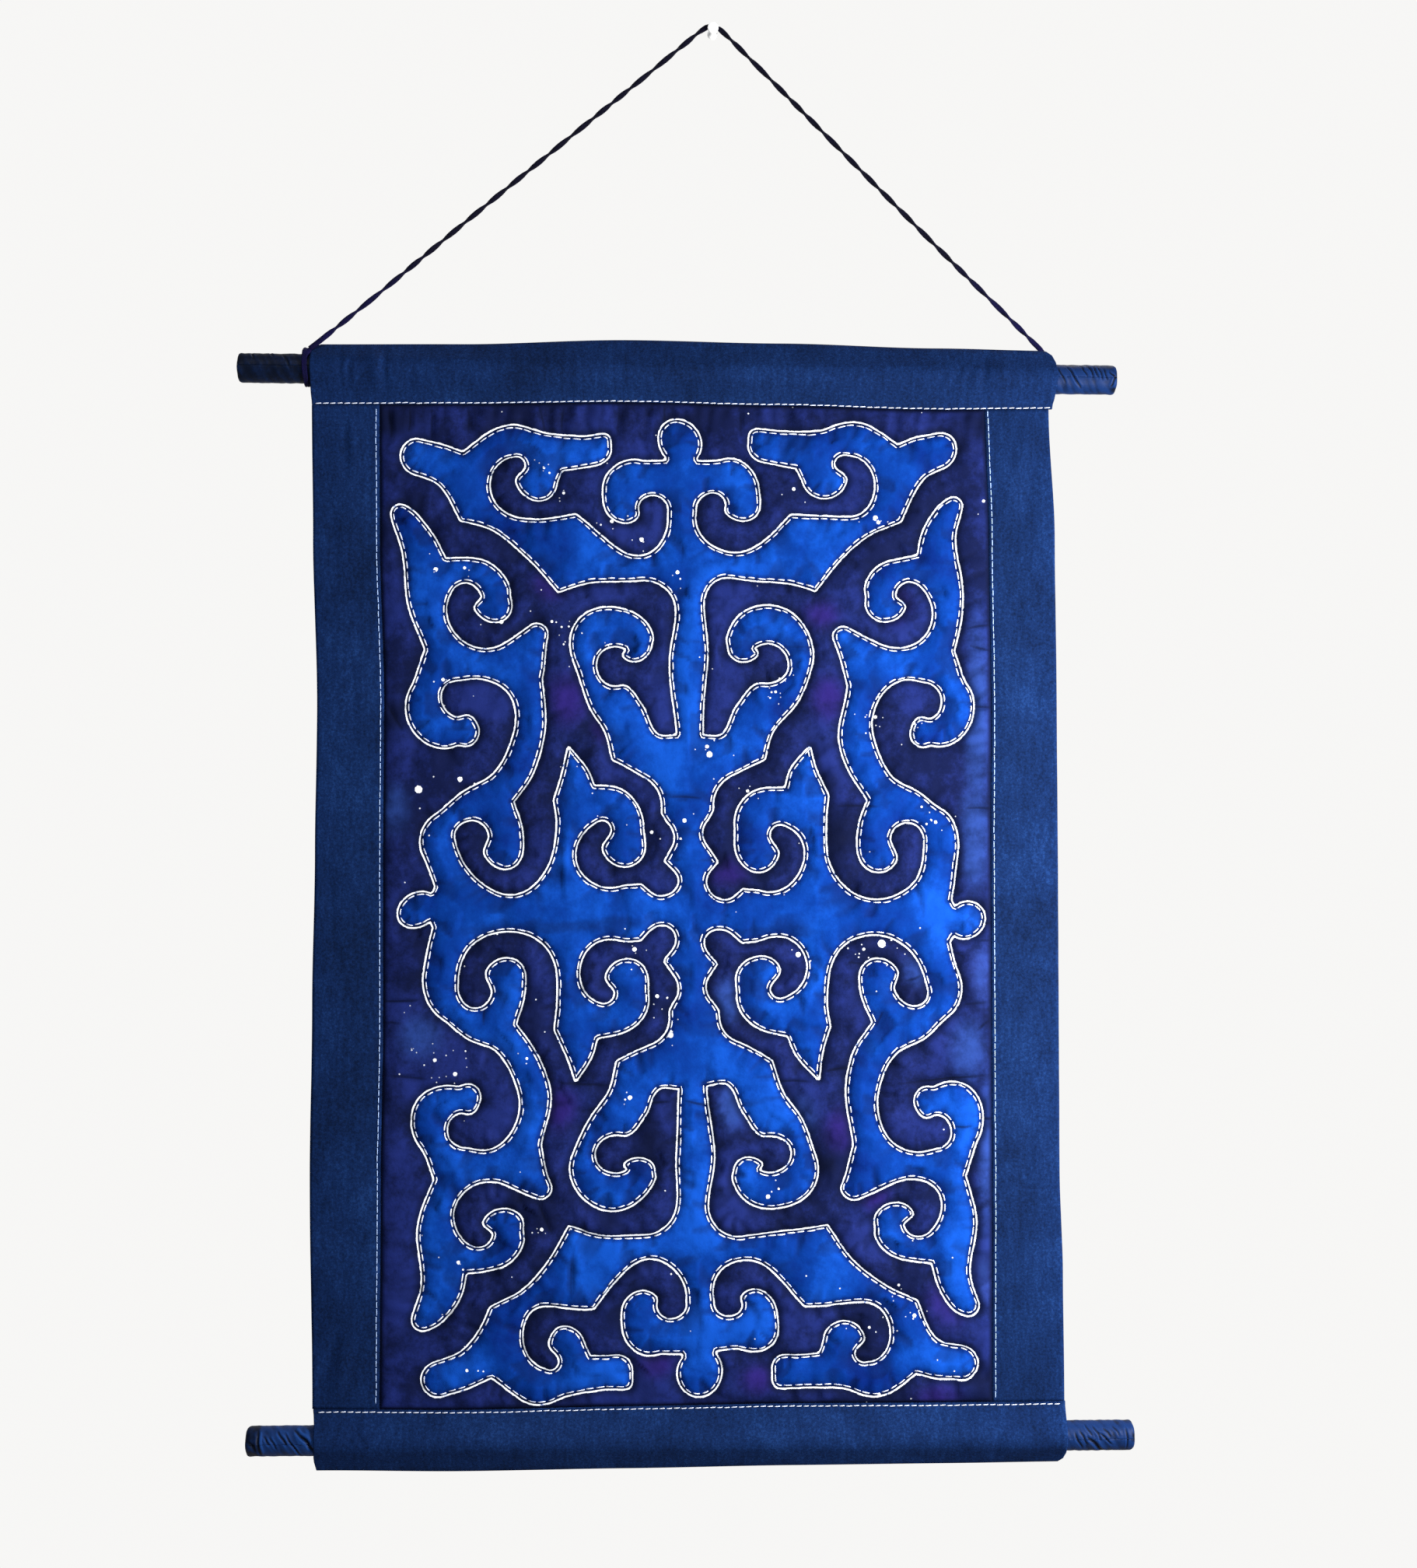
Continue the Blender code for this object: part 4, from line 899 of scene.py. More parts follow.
@dataclass
class Crease(Seen):
    """A soft trough, or a ridge where its depth is below 0. Its sizes are in millimetres."""

    length: float
    angle: float
    width: float
    depth: float

    def measured(self, places: Array) -> tuple[Array, Array]:
        """How far each (x, z) place lies off it, and its strength there, from 0 past its ends to 1."""
        x, z = self.middle
        turn = math.radians(self.angle)
        along = (places[:, 0] - x) * math.cos(turn) + (places[:, 1] - z) * math.sin(turn)
        away = (places[:, 1] - z) * math.cos(turn) - (places[:, 0] - x) * math.sin(turn)
        away = away - self.width * MM * 0.4 * np.sin(along / (self.length * MM) * 3 + self.pixel_x)
        reach = self.length * MM / 2
        return away, np.clip(1 - (along / reach) ** 2, 0, 1) ** 1.2

    def height(self, places: Array) -> Array:
        """How far it sinks the cloth at each (x, z) place."""
        away, strength = self.measured(places)
        return self.depth * MM * strength * np.exp(-((away / (self.width * MM)) ** 2))

    def line(self, places: Array) -> tuple[Array, Array]:
        """Its painted shade line: narrow creases show one and wide ones don't.

        Args:
            places: The (x, z) places.

        Returns:
            How far each place lies from it, and its turn, offset and strength there.
        """
        away, strength = self.measured(places)
        turn = math.radians(self.angle)
        level = places[:, 1] * math.cos(turn) - places[:, 0] * math.sin(turn)
        narrow = min(max(2.6 - self.width, 0), 1) * min(self.depth / 1.4, 1)
        line = np.column_stack((np.full(len(places), turn), level - away, strength**0.6 * narrow))
        return np.where(line[:, 2] > 0, np.abs(away), np.inf), line


class Dye(Enum):
    """A cloud of dye that stands out from its neighbours, by the name of its attribute."""

    VIOLET = "dye_violet"
    SLATE = "dye_slate"
    BLACK = "dye_black"
    LIGHT = "dye_light"


@dataclass
class DyeCloud(Seen):
    """One soft cloud of dye. Its half sizes are in millimetres."""

    half_width: float
    half_height: float
    strength: float = 1.0

    def share(self, places: Array) -> Array:
        """How strongly it colours each (x, z) place, from 0 to 1."""
        x, z = self.middle
        across = (places[:, 0] - x) / (self.half_width * MM)
        up = (places[:, 1] - z) / (self.half_height * MM)
        return self.strength * np.exp(-(across**2) - up**2)


@dataclass
class Splash(Seen):
    """A wax splash: its main drop and the specks round it, in millimetres."""

    size: float
    specks: int = 0
    spread: float = 6.0
    angle: float = 0.0
    stretch: float = 1.0

    def drops(self, chance: np.random.Generator) -> list[tuple[float, float, float]]:
        """Its drops as (x, radius, z)."""
        x, z = self.middle
        found = [(x, self.size / 2 * MM, z)]
        turn = math.radians(self.angle)
        for _ in range(self.specks):
            along = chance.normal() * self.spread * self.stretch
            away = chance.normal() * self.spread / self.stretch
            size = chance.uniform(0.45, 1.5) * chance.uniform(0.5, 1)
            speck_x = x + (along * math.cos(turn) - away * math.sin(turn)) * MM
            speck_z = z + (along * math.sin(turn) + away * math.cos(turn)) * MM
            found.append((speck_x, max(0.35, size / 2) * MM, speck_z))
        return found


@dataclass(frozen=True)
class Pucker:
    """Folds of one size that the stitching draws across its line, or narrow creases if they are sharp."""

    wave: float
    depth: float
    reach: float
    seed: float
    sharp: bool = False

    def row(self, marks: Array, side: int) -> Array:
        """Its heights at lengths along one side of the line, as shares of its depth."""
        found = waver(marks, self.wave, self.seed * side)
        if self.sharp:
            found = np.exp(-((found / 0.13) ** 2))
        return found * (1 + 0.9 * waver(marks, 45 * MM, self.seed + 2.2 * side))


def held(away: Array, near: float, far: float) -> Array:
    """How freely a fold stands at a distance from its stitches: not at all on them, then less and less."""
    return (1 - np.exp(-away / near)) * np.exp(-away / far)


def turned_left(first: Array, second: Array) -> Array:
    """The cross product of flat directions, above 0 where the second turns left of the first."""
    return first[:, 0] * second[:, 1] - first[:, 1] * second[:, 0]


@dataclass
class Quilting:
    """The panel's relief: valleys along the stitched outline and seams, puffs and puckers between."""

    cloth: Cloth
    creases: tuple[Crease, ...]
    puff: float = 2.8 * MM
    softness: float = 3.2 * MM
    deepest: float = 0.4 * MM
    outline_step: float = 1.5
    valley_middle: float = 0.5 * MM
    stitch_pitch: float = 6.0 * MM
    dimple: float = 0.25 * MM
    dimple_reach: float = 2.8 * MM
    pucker_set: tuple[Pucker, ...] = (
        Pucker(3 * MM, 0.8 * MM, 4 * MM, 1.7),
        Pucker(6 * MM, 1.5 * MM, 8 * MM, 3.1),
        Pucker(13 * MM, 1.6 * MM, 18 * MM, 8.3),
        Pucker(15 * MM, 1.3 * MM, 13 * MM, 4.6, True),
        Pucker(10 * MM, 0.8 * MM, 7 * MM, 6.9, True),
    )
    pucker_lean: float = 0.3
    seam_lean: float = 0.15
    swell: float = 0.35 * MM
    swell_size: float = 16 * MM
    rim_hold: float = 4 * MM

    def __post_init__(self) -> None:
        """Draws the outline and sorts its points for finding the nearest."""
        self.loop = Ornament().outline(self.outline_step, self.cloth)
        spans = np.roll(self.loop, -1, axis=0) - self.loop
        self.span_lengths = np.hypot(spans[:, 0], spans[:, 1])
        self.walked = np.concatenate(([0], np.cumsum(self.span_lengths)))
        self.length = float(self.walked[-1])
        self.directions = spans / self.span_lengths[:, None]
        self.tree = KDTree(len(self.loop))
        for index, (x, z) in enumerate(self.loop):
            self.tree.insert((x, z, 0), index)
        self.tree.balance()
        self.stitches = round(self.length / self.stitch_pitch)
        self.marks = np.arange(0, self.length, MM)
        self.pucker_rows = {
            (pucker, side): pucker.row(self.marks, side) for pucker in self.pucker_set for side in (1, -1)
        }

    def nearest(self, places: Array) -> tuple[Array, Array]:
        """For each (x, z) place, how far it lies inside the figure and where along the outline.

        Args:
            places: The places.

        Returns:
            The signed distance, above 0 in the figure, and the length walked to the nearest point.
        """
        index = np.array([self.tree.find((x, z, 0))[1] for x, z in places])
        previous = (index - 1) % len(self.loop)
        found = []
        for start in (previous, index):
            gap = places - self.loop[start]
            along = self.directions[start]
            part = np.clip((gap * along).sum(axis=1), 0, self.span_lengths[start])
            found.append((np.hypot(*(gap - part[:, None] * along).T), self.walked[start] + part))
        (distance_before, walked_before), (distance_after, walked_after) = found
        distance = np.minimum(distance_before, distance_after)
        walked = np.where(distance_before < distance_after, walked_before, walked_after)
        before, after = self.directions[previous], self.directions[index]
        gap = places - self.loop[index]
        corner = turned_left(before, after)
        left_before, left_after = turned_left(before, gap) > 0, turned_left(after, gap) > 0
        left = np.where(corner > 0, left_before & left_after, left_before | left_after)
        left = np.where(np.abs(corner) < 1e-6, turned_left(before + after, gap) > 0, left)
        return np.where(left, -distance, distance), walked

    def rim_distance(self, places: Array) -> Array:
        """How far each place lies inside the panel's rim."""
        cloth = self.cloth
        x, z = places[:, 0] - cloth.middle_x, places[:, 1]
        left = x + cloth.half_panel - cloth.down("left seam", z)
        right = cloth.half_panel + cloth.down("right seam", z) - x
        top = cloth.panel_top + cloth.across("top seam", x) - z
        bottom = z - cloth.panel_bottom - cloth.across("bottom seam", x)
        return np.clip(np.min((left, right, top, bottom), axis=0), 0, None)

    def stitch_gap(self, walked: Array) -> Array:
        """1 between two stitches of the outline and 0 from their ends inwards."""
        return np.clip(np.cos(TURN * walked / self.length * self.stitches), 0, 1)

    def puckers(self, side: Array, walked: Array, sharp: bool) -> Array:
        """The folds, or the sharp creases, that the stitching draws across its line."""
        away = np.abs(side - self.valley_middle)
        at = np.mod(walked + sharp * self.pucker_lean * away, self.length)
        found = np.zeros(len(side))
        for pucker in self.pucker_set:
            if pucker.sharp == sharp:
                inner, outer = (np.interp(at, self.marks, self.pucker_rows[pucker, sign]) for sign in (1, -1))
                found += pucker.depth * held(away, 1.6 * MM, pucker.reach) * np.where(side > 0, inner, outer)
        return found

    def seam_puckers(self, places: Array, sharp: bool) -> Array:
        """The short folds, or the sharp creases, that the four seams draw into the panel."""
        found = np.zeros(len(places))
        for axis, seam, wave, depth, reach, seed in (
            (0, self.cloth.panel_top, 6 * MM, 2.4 * MM, 14 * MM, 5.7),
            (0, self.cloth.panel_bottom, 7 * MM, 1.5 * MM, 11 * MM, 9.1),
            (1, self.cloth.middle_x - self.cloth.half_panel, 7 * MM, 1.5 * MM, 10 * MM, 2.9),
            (1, self.cloth.middle_x + self.cloth.half_panel, 7 * MM, 2.0 * MM, 12 * MM, 4.4),
        ):
            along, away = places[:, axis], np.abs(places[:, 1 - axis] - seam)
            marks = np.arange(along.min() - 5 * MM, along.max() + 5 * MM, MM)
            row = waver(marks, wave, seed)
            if sharp:
                row = 0.5 * np.exp(-((waver(marks, 1.6 * wave, seed + 0.5) / 0.2) ** 2))
            found += depth * held(away, 2 * MM, reach) * np.interp(along + self.seam_lean * away, marks, row)
        return found

    def creased(self, places: Array, side: Array, walked: Array) -> Array:
        """The depth of every narrow crease at each (x, z) place."""
        found = self.puckers(side, walked, True) + self.seam_puckers(places, True)
        for crease in self.creases:
            found += crease.height(places)
        return found

    def soft(self, places: Array, side: Array, walked: Array) -> Array:
        """The height that every fold, crease, swell and stitch's end adds at each (x, z) place."""
        away = np.abs(side - self.valley_middle)
        found = -self.dimple * self.stitch_gap(walked) * np.exp(-((away / self.dimple_reach) ** 2))
        found += self.puckers(side, walked, False) + self.seam_puckers(places, False)
        found += self.swell * cloudy(places, self.swell_size, 2.4)
        found += 0.5 * self.swell * cloudy(places, self.swell_size / 3, 6.4)
        found -= self.creased(places, side, walked)
        return found * smooth_step(0, self.rim_hold, self.rim_distance(places))

    def front(self, places: Array, nearest: tuple[Array, Array] | None = None) -> Array:
        """The y of the panel's front at each (x, z) place.

        Args:
            places: The places.
            nearest: What nearest() gave for them, if it is known.

        Returns:
            The y at each place.
        """
        side, walked = nearest if nearest else self.nearest(places)
        away = np.minimum(np.abs(side - self.valley_middle), self.rim_distance(places))
        rise = self.puff * (1 - np.exp(-away / self.softness))
        rise = np.clip(rise + self.soft(places, side, walked), -self.deepest, None)
        middle = self.cloth.hung_y(places[:, 0] - self.cloth.middle_x, places[:, 1])
        return middle - self.cloth.seam_thickness / 2 - rise


@dataclass
class QuiltedPanel:
    """The batik panel, a closed sheet with its relief, dye, painted shade and splashes."""

    quilting: Quilting
    splashes: tuple[Splash, ...]
    dyes: dict[Dye, tuple[DyeCloud, ...]]
    columns: int = 232
    rows: int = 384
    coarse: int = 4
    lone_specks: int = 70
    line_reach: float = 3 * MM

    def place(self, u: Array, v: Array) -> Array:
        """The (x, z) of shares u from the left and v from the bottom."""
        half = self.quilting.cloth.half_panel
        return self.quilting.cloth.strip(((-half, "left seam"), (half, "right seam")), u, v)

    def front_shape(self, u: Array, v: Array) -> Array:
        """The front's places. What the dye and the painted shade need to know of them is kept."""
        places = self.place(u, v)
        nearest = self.quilting.nearest(places)
        side, walked = nearest
        self.marks = {
            "side": side,
            "rim": self.quilting.rim_distance(places),
            # painted shade mask: darker in the crease hollows
            "hollow_shade": smooth_step(0.15 * MM, 0.9 * MM, self.quilting.creased(places, side, walked)),
            # painted shadow mask: the dark notches at the gaps between outline stitches
            "stitch_gap_shadow": self.quilting.stitch_gap(walked) ** 2
            * smooth_step(0, 0.8 * MM, side)
            * smooth_step(3.4 * MM, 1.6 * MM, side),
        }
        for dye, clouds in self.dyes.items():
            self.marks[dye.value] = np.max([cloud.share(places) for cloud in clouds], axis=0)
        return standing(places, self.quilting.front(places, nearest))

    def back_shape(self, u: Array, v: Array) -> Array:
        """The back's places."""
        places = self.place(u, v)
        cloth = self.quilting.cloth
        middle = cloth.hung_y(places[:, 0] - cloth.middle_x, places[:, 1])
        return standing(places, middle + cloth.seam_thickness / 2)

    def drops(self) -> list[tuple[float, float, float]]:
        """Every wax drop as (x, radius, z)."""
        cloth = self.quilting.cloth
        chance = np.random.default_rng(SEED)
        found = [drop for splash in self.splashes for drop in splash.drops(chance)]
        for _ in range(self.lone_specks):
            x = cloth.middle_x + chance.uniform(-1, 1) * cloth.half_panel
            z = chance.uniform(cloth.panel_bottom, cloth.panel_top)
            found.append((x, chance.uniform(0.3, 0.5) * MM, z))
        return found

    def store_nearest(
        self, mesh: bpy.types.Mesh, name: str, reach: float, things: Iterable[tuple[Array, Array | tuple]]
    ) -> None:
        """Stores on each front face three numbers of the nearest thing, for the dye and the painted crease
        shade.

        Args:
            mesh: The panel's mesh.
            name: The attribute's name.
            reach: How near a thing must be to count.
            things: How far each thing lies from every face, and its numbers there.
        """
        best = np.full(len(mesh.polygons), reach)
        chosen = np.zeros((len(best), 3))
        for distance, numbers in things:
            nearer = distance < best
            best[nearer] = distance[nearer]
            chosen[nearer] = np.broadcast_to(numbers, chosen.shape)[nearer]
        chosen[face_values(mesh, "normal")[:, 1] > 0.5] = 0
        made = mesh.attributes.new(name, "FLOAT_VECTOR", "FACE")
        made.data.foreach_set("vector", chosen.astype(np.float32).ravel())

    def build(self, material: Material) -> Object:
        """Makes the panel."""
        bm = bmesh.new()
        shaped_grid(bm, self.columns, self.rows, self.front_shape)
        back = len(shaped_grid(bm, self.columns // self.coarse, self.rows // self.coarse, self.back_shape))
        bmesh.ops.bridge_loops(bm, edges=rim_edges(bm))
        made = named_object("batik_panel", bm, material)
        plain = {"side": -20 * MM, "rim": 20 * MM}
        for name, values in self.marks.items():
            layer = made.data.attributes.new(name, "FLOAT", "POINT")
            whole = np.concatenate((values, np.full(back, plain.get(name, 0.0))))
            layer.data.foreach_set("value", whole.astype(np.float32))
        x, _, z = face_values(made.data, "center").T
        drops = ((np.hypot(x - drop[0], z - drop[2]) - drop[1], drop) for drop in self.drops())
        self.store_nearest(made.data, "splash", np.inf, drops)
        lines = (crease.line(np.column_stack((x, z))) for crease in self.quilting.creases)
        self.store_nearest(made.data, "crease", self.line_reach, lines)
        return made


# Threads


@dataclass
class Thread:
    """Stitches as small rounded threads that lie on the cloth and dive into it at both ends.

    Attributes:
        material: The thread's finish.
        width: How wide it is.
        height: How high it stands.
        slant: How far a stitch leaves its line for each metre along it.
    """

    material: Material
    width: float
    height: float
    slant: float = 0.0
    sides: int = 6
    rings: int = 5

    def template(self) -> tuple[Array, list[tuple[int, ...]]]:
        """One stitch: vertices as (along, across, up) from -0.5 to 0.5, and its faces."""
        bm = bmesh.new()
        bmesh.ops.create_uvsphere(bm, u_segments=self.sides, v_segments=self.rings, radius=0.5)
        bmesh.ops.rotate(bm, verts=bm.verts, matrix=Matrix.Rotation(math.pi / 2, 3, "Y"))
        bm.verts.index_update()
        verts = np.array([vert.co for vert in bm.verts])
        faces = [tuple(vert.index for vert in face.verts) for face in bm.faces]
        bm.free()
        girth = np.hypot(verts[:, 1], verts[:, 2])
        fuller = np.where(girth > 0, (2 * girth) ** 0.45 / np.maximum(2 * girth, 1e-9), 1)
        verts[:, 1:] *= fuller[:, None]
        return verts, faces

    def sewn(self, name: str, starts: Array, lengths: Array, drift: Array, ground: Shape) -> Object:
        """Joins all the stitches of a run into one mesh.

        Args:
            name: The object's name.
            starts: Where each stitch's middle lies along the run.
            lengths: Each stitch's length.
            drift: How far each stitch lies off its line.
            ground: Gives places on the cloth for arrays of lengths walked and distances off the line.

        Returns:
            The linked object.
        """
        verts, faces = self.template()
        count = len(starts)
        along = verts[None, :, 0] * lengths[:, None]
        walked = starts[:, None] + along
        off = drift[:, None] + verts[None, :, 1] * self.width + self.slant * along
        places = ground(walked.ravel(), off.ravel())
        lift = self.height * (0.5 + verts[:, 2] - 1.1 * np.abs(2 * verts[:, 0]) ** 6)
        places[:, 1] -= np.tile(lift, count)
        bm = bmesh.new()
        made = [bm.verts.new(place) for place in places]
        for start in range(0, len(made), len(verts)):
            for face in faces:
                bm.faces.new([made[start + index] for index in face])
        around = np.arctan2(verts[:, 2], verts[:, 1]) / TURN
        write_uv(bm, "thread", np.column_stack((walked.ravel() / MM, np.tile(around, count))))
        return named_object(name, bm, self.material)


@dataclass
class OutlineStitches:
    """White running stitches all round the ornament, just inside the figure."""

    quilting: Quilting
    thread: Thread
    gap: float = 0.6 * MM
    inset: float = 1.1 * MM
    stray: float = 0.18 * MM
    reach: float = 1.6 * MM

    def spot(self, walked: Array) -> Array:
        """The (x, z) at a length along the outline."""
        loop = self.quilting.loop
        at = np.mod(walked, self.quilting.length)
        closed = np.vstack((loop, loop[:1]))
        return np.column_stack([np.interp(at, self.quilting.walked, values) for values in closed.T])

    def ground(self, walked: Array, off: Array) -> Array:
        """The place on the cloth at a length along the outline and a distance into the figure."""
        at = np.mod(walked, self.quilting.length)
        along = self.spot(at + self.reach) - self.spot(at - self.reach)
        along /= np.hypot(*along.T)[:, None]
        places = self.spot(at) + np.column_stack((along[:, 1], -along[:, 0])) * off[:, None]
        return standing(places, self.quilting.front(places))

    def build(self) -> Object:
        """Makes the stitches."""
        chance = np.random.default_rng(SEED + 1)
        count = self.quilting.stitches
        pitch = self.quilting.length / count
        starts = (np.arange(count) + 0.5) * pitch + chance.normal(0, 0.05 * pitch, count)
        lengths = (pitch - self.gap) * chance.uniform(0.86, 1.08, count)
        drift = self.inset + chance.normal(0, self.stray, count)
        return self.thread.sewn("outline_stitches", starts, lengths, drift, self.ground)


# Plain cloth


@dataclass
class SideBorder:
    """A plain strip down one side, softly creased."""

    cloth: Cloth
    side: Side
    creases: tuple[Crease, ...]
    columns: int = 22
    rows: int = 300
    crown: float = 0.4 * MM
    ease: float = 0.35 * MM
    seam_gap: float = 0.08 * MM

    def facing(self, share: Array, level: Array, facing: int) -> Array:
        """The places of one face of the strip: facing is 1 towards the viewer."""
        cloth, sign, word = self.cloth, self.side.value, self.side.word
        inner, outer = sign * (cloth.half_panel + self.seam_gap), sign * cloth.half_cloth
        places = cloth.strip(((inner, f"{word} seam"), (outer, f"{word} edge")), share, level)
        half = cloth.seam_thickness / 2 + self.crown * np.sin(math.pi * share)
        soft = self.ease * cloudy(places, 24 * MM, 4.2 + sign)
        soft += 0.4 * self.ease * cloudy(places * (1, 0.3), 7 * MM, 1.2 + sign)
        for crease in self.creases:
            soft -= crease.height(places)
        free = smooth_step(0, 0.12, share) * smooth_step(0, 0.02, level) * smooth_step(1, 0.98, level)
        middle = cloth.hung_y(places[:, 0] - cloth.middle_x, places[:, 1])
        return standing(places, middle - facing * half - free * soft)

    def build(self, material: Material) -> Object:
        """Makes the strip."""
        bm = bmesh.new()
        for facing in (1, -1):
            shaped_grid(bm, self.columns, self.rows, partial(self.facing, facing=facing))
        bmesh.ops.bridge_loops(bm, edges=rim_edges(bm))
        return named_object(f"side_strip_{self.side.word}", bm, material)


@dataclass
class RodLine:
    """A rod's middle line in a sleeve."""

    middle_z: float
    shift: float
    tilt: float
    length: float = 531.5 * MM
    radius: float = 8.75 * MM

    def height(self, x: Array) -> Array:
        """The rod's height at x, from the cloth's middle."""
        return self.middle_z - (x - self.shift) * math.tan(self.tilt)


# how far a sleeve's end draws in as (share of the way from the seam to the fold, millimetres)
SLEEVE_ENDS = {
    (Level.TOP, Side.LEFT): ((0, 1.2), (0.15, 0.9), (0.5, 1.2), (0.86, 1.2), (0.93, 2.2), (1, 6.5)),
    (Level.TOP, Side.RIGHT): ((0, 2), (0.2, 0.8), (0.5, 0), (0.75, 0.5), (0.88, 1.8), (0.95, 3.6), (1, 6.5)),
    (Level.BOTTOM, Side.LEFT): ((0, 0.3), (0.25, 1.4), (0.5, 2), (0.8, 1.4), (1, 2.2)),
    (Level.BOTTOM, Side.RIGHT): ((0, 0.2), (0.3, 0.3), (0.5, 0.4), (0.8, 0.8), (0.92, 2), (1, 4.8)),
}


@dataclass
class RodSleeve:
    """A rod sleeve: cloth sewn flat along its seam and rolled over the rod, open at both ends."""

    cloth: Cloth
    level: Level
    rod: RodLine
    creases: tuple[Crease, ...]
    wall: float = 1.2 * MM
    slack: float = 0.45 * MM
    reach: float = 12 * MM
    columns: int = 300
    arc_steps: int = 12
    finer: int = 4
    ease: float = 0.35 * MM
    # height from the seam, or distance in from the fold, and depth, in millimetres
    seam_outside: tuple = ((0, 1.1), (1.2, 1.1), (2.5, 1.1))
    seam_inside: tuple = ((5, 0.25), (6, 0.7))
    fold_outside: tuple = ((0.8, 1.2), (0, 0))
    fold_inside: tuple = ((2.6, 0.7), (2.2, 0))

    def __post_init__(self) -> None:
        """Takes the sleeve's own height, shift and seam from the cloth."""
        self.tall = self.cloth.sleeve_height[self.level]
        self.shift = self.cloth.sleeve_shift[self.level]
        self.seam_z = self.cloth.seam_z[self.level] + self.level.value * self.cloth.gap

    def round_rod(self, middle: float, radius: float, seam: tuple, fold: tuple) -> list[tuple]:
        """The part of a section that bears on the rod, as (height, depth), from straight to straight."""
        seam_span = math.hypot(middle - seam[0], seam[1])
        fold_span = math.hypot(fold[0] - middle, fold[1])
        start = math.atan2(seam[1], middle - seam[0]) + math.acos(radius / seam_span)
        end = math.pi - math.atan2(fold[1], fold[0] - middle) - math.acos(radius / fold_span)
        angles = np.linspace(start, end, self.arc_steps + 1)
        return [(middle - radius * math.cos(angle), radius * math.sin(angle)) for angle in angles]

    def section(self, tall: float, middle: float, wall: float) -> Array:
        """A whole section round the sleeve as (height, depth), from the seam over the front and back."""
        radius = self.rod.radius + self.slack + self.wall - wall
        seam_rows = self.seam_inside if wall else self.seam_outside
        fold_rows = self.fold_inside if wall else self.fold_outside
        start = [(up * MM, depth * MM) for up, depth in seam_rows]
        end = [(tall - away * MM, depth * MM) for away, depth in fold_rows]
        side = start + self.round_rod(middle, radius, start[-1], end[0]) + end
        back = [(up, -depth) for up, depth in reversed(side[:-1])]
        return np.array(side + back + side[:1])

    def station(self, share: float) -> float:
        """x at a share along the sleeve. Stations lie closer together at its ends."""
        along = 2 * share - 1
        return float(self.cloth.sleeve_length / 2 * (1.25 * along - 0.25 * along**3))

    def soft(self, places: Array) -> Array:
        """How far the front is eased in and out at (x, z) places."""
        found = self.ease * cloudy(places * (0.6, 1), 14 * MM, 7.7 + self.level.value)
        for crease in self.creases:
            found -= crease.height(places)
        return found

    def ring(self, x: float, around: Array, wall: float) -> Array:
        """The sleeve's places at x, from its middle, and shares round its section."""
        cloth, up = self.cloth, self.level.value
        low = self.seam_z + float(cloth.across(f"{self.level.word} seam", x))
        edge = float(cloth.across(f"{self.level.word} edge", x))
        tall = abs(self.seam_z + up * (self.tall - cloth.gap) + edge - low)
        section = self.section(tall, abs(float(self.rod.height(x + self.shift)) - low), wall)
        steps = np.linspace(0, 1, len(section))
        height, depth = (np.interp(around, steps, values) for values in section.T)
        side = Side.LEFT if x < 0 else Side.RIGHT
        pull = max(0.0, (abs(x) - (cloth.sleeve_length / 2 - self.reach)) / self.reach) ** 1.5
        inset = -side.value * pull * eased(SLEEVE_ENDS[self.level, side], height / tall) * MM
        places_x = x + inset + cloth.middle_x + self.shift
        return np.column_stack((places_x, cloth.middle_y - depth, low + up * height))

    def shape(self, share: Array, around: Array, wall: float) -> Array:
        """The sleeve's places at shares along it and round its section."""
        found = np.zeros((len(share), 3))
        for value in np.unique(share):
            chosen = share == value
            found[chosen] = self.ring(self.station(value), around[chosen], wall)
        if not wall:
            places = found[:, [0, 2]]
            seam_free = smooth_step(3 * MM, 8 * MM, np.abs(places[:, 1] - self.seam_z))
            end_free = smooth_step(1, 0.97, np.abs(2 * share - 1))
            on_front = smooth_step(0, 3 * MM, self.cloth.middle_y - found[:, 1])
            found[:, 1] -= self.soft(places) * seam_free * end_free * on_front
        return found

    def build(self, material: Material) -> Object:
        """Makes the sleeve."""
        bm = bmesh.new()
        for wall, finer in ((0, self.finer), (self.wall, 1)):
            turns = len(self.section(self.tall, self.tall / 2, wall)) - 1
            made = shaped_grid(bm, self.columns, turns * finer, partial(self.shape, wall=wall))
            bmesh.ops.remove_doubles(bm, verts=made, dist=MERGE)
        ends = rim_edges(bm)
        for side in Side:
            rim = [edge for edge in ends if (edge.verts[0].co.x - self.cloth.middle_x) * side.value > 0]
            bmesh.ops.bridge_loops(bm, edges=rim)
        return named_object(f"rod_sleeve_{self.level.word}", bm, material)


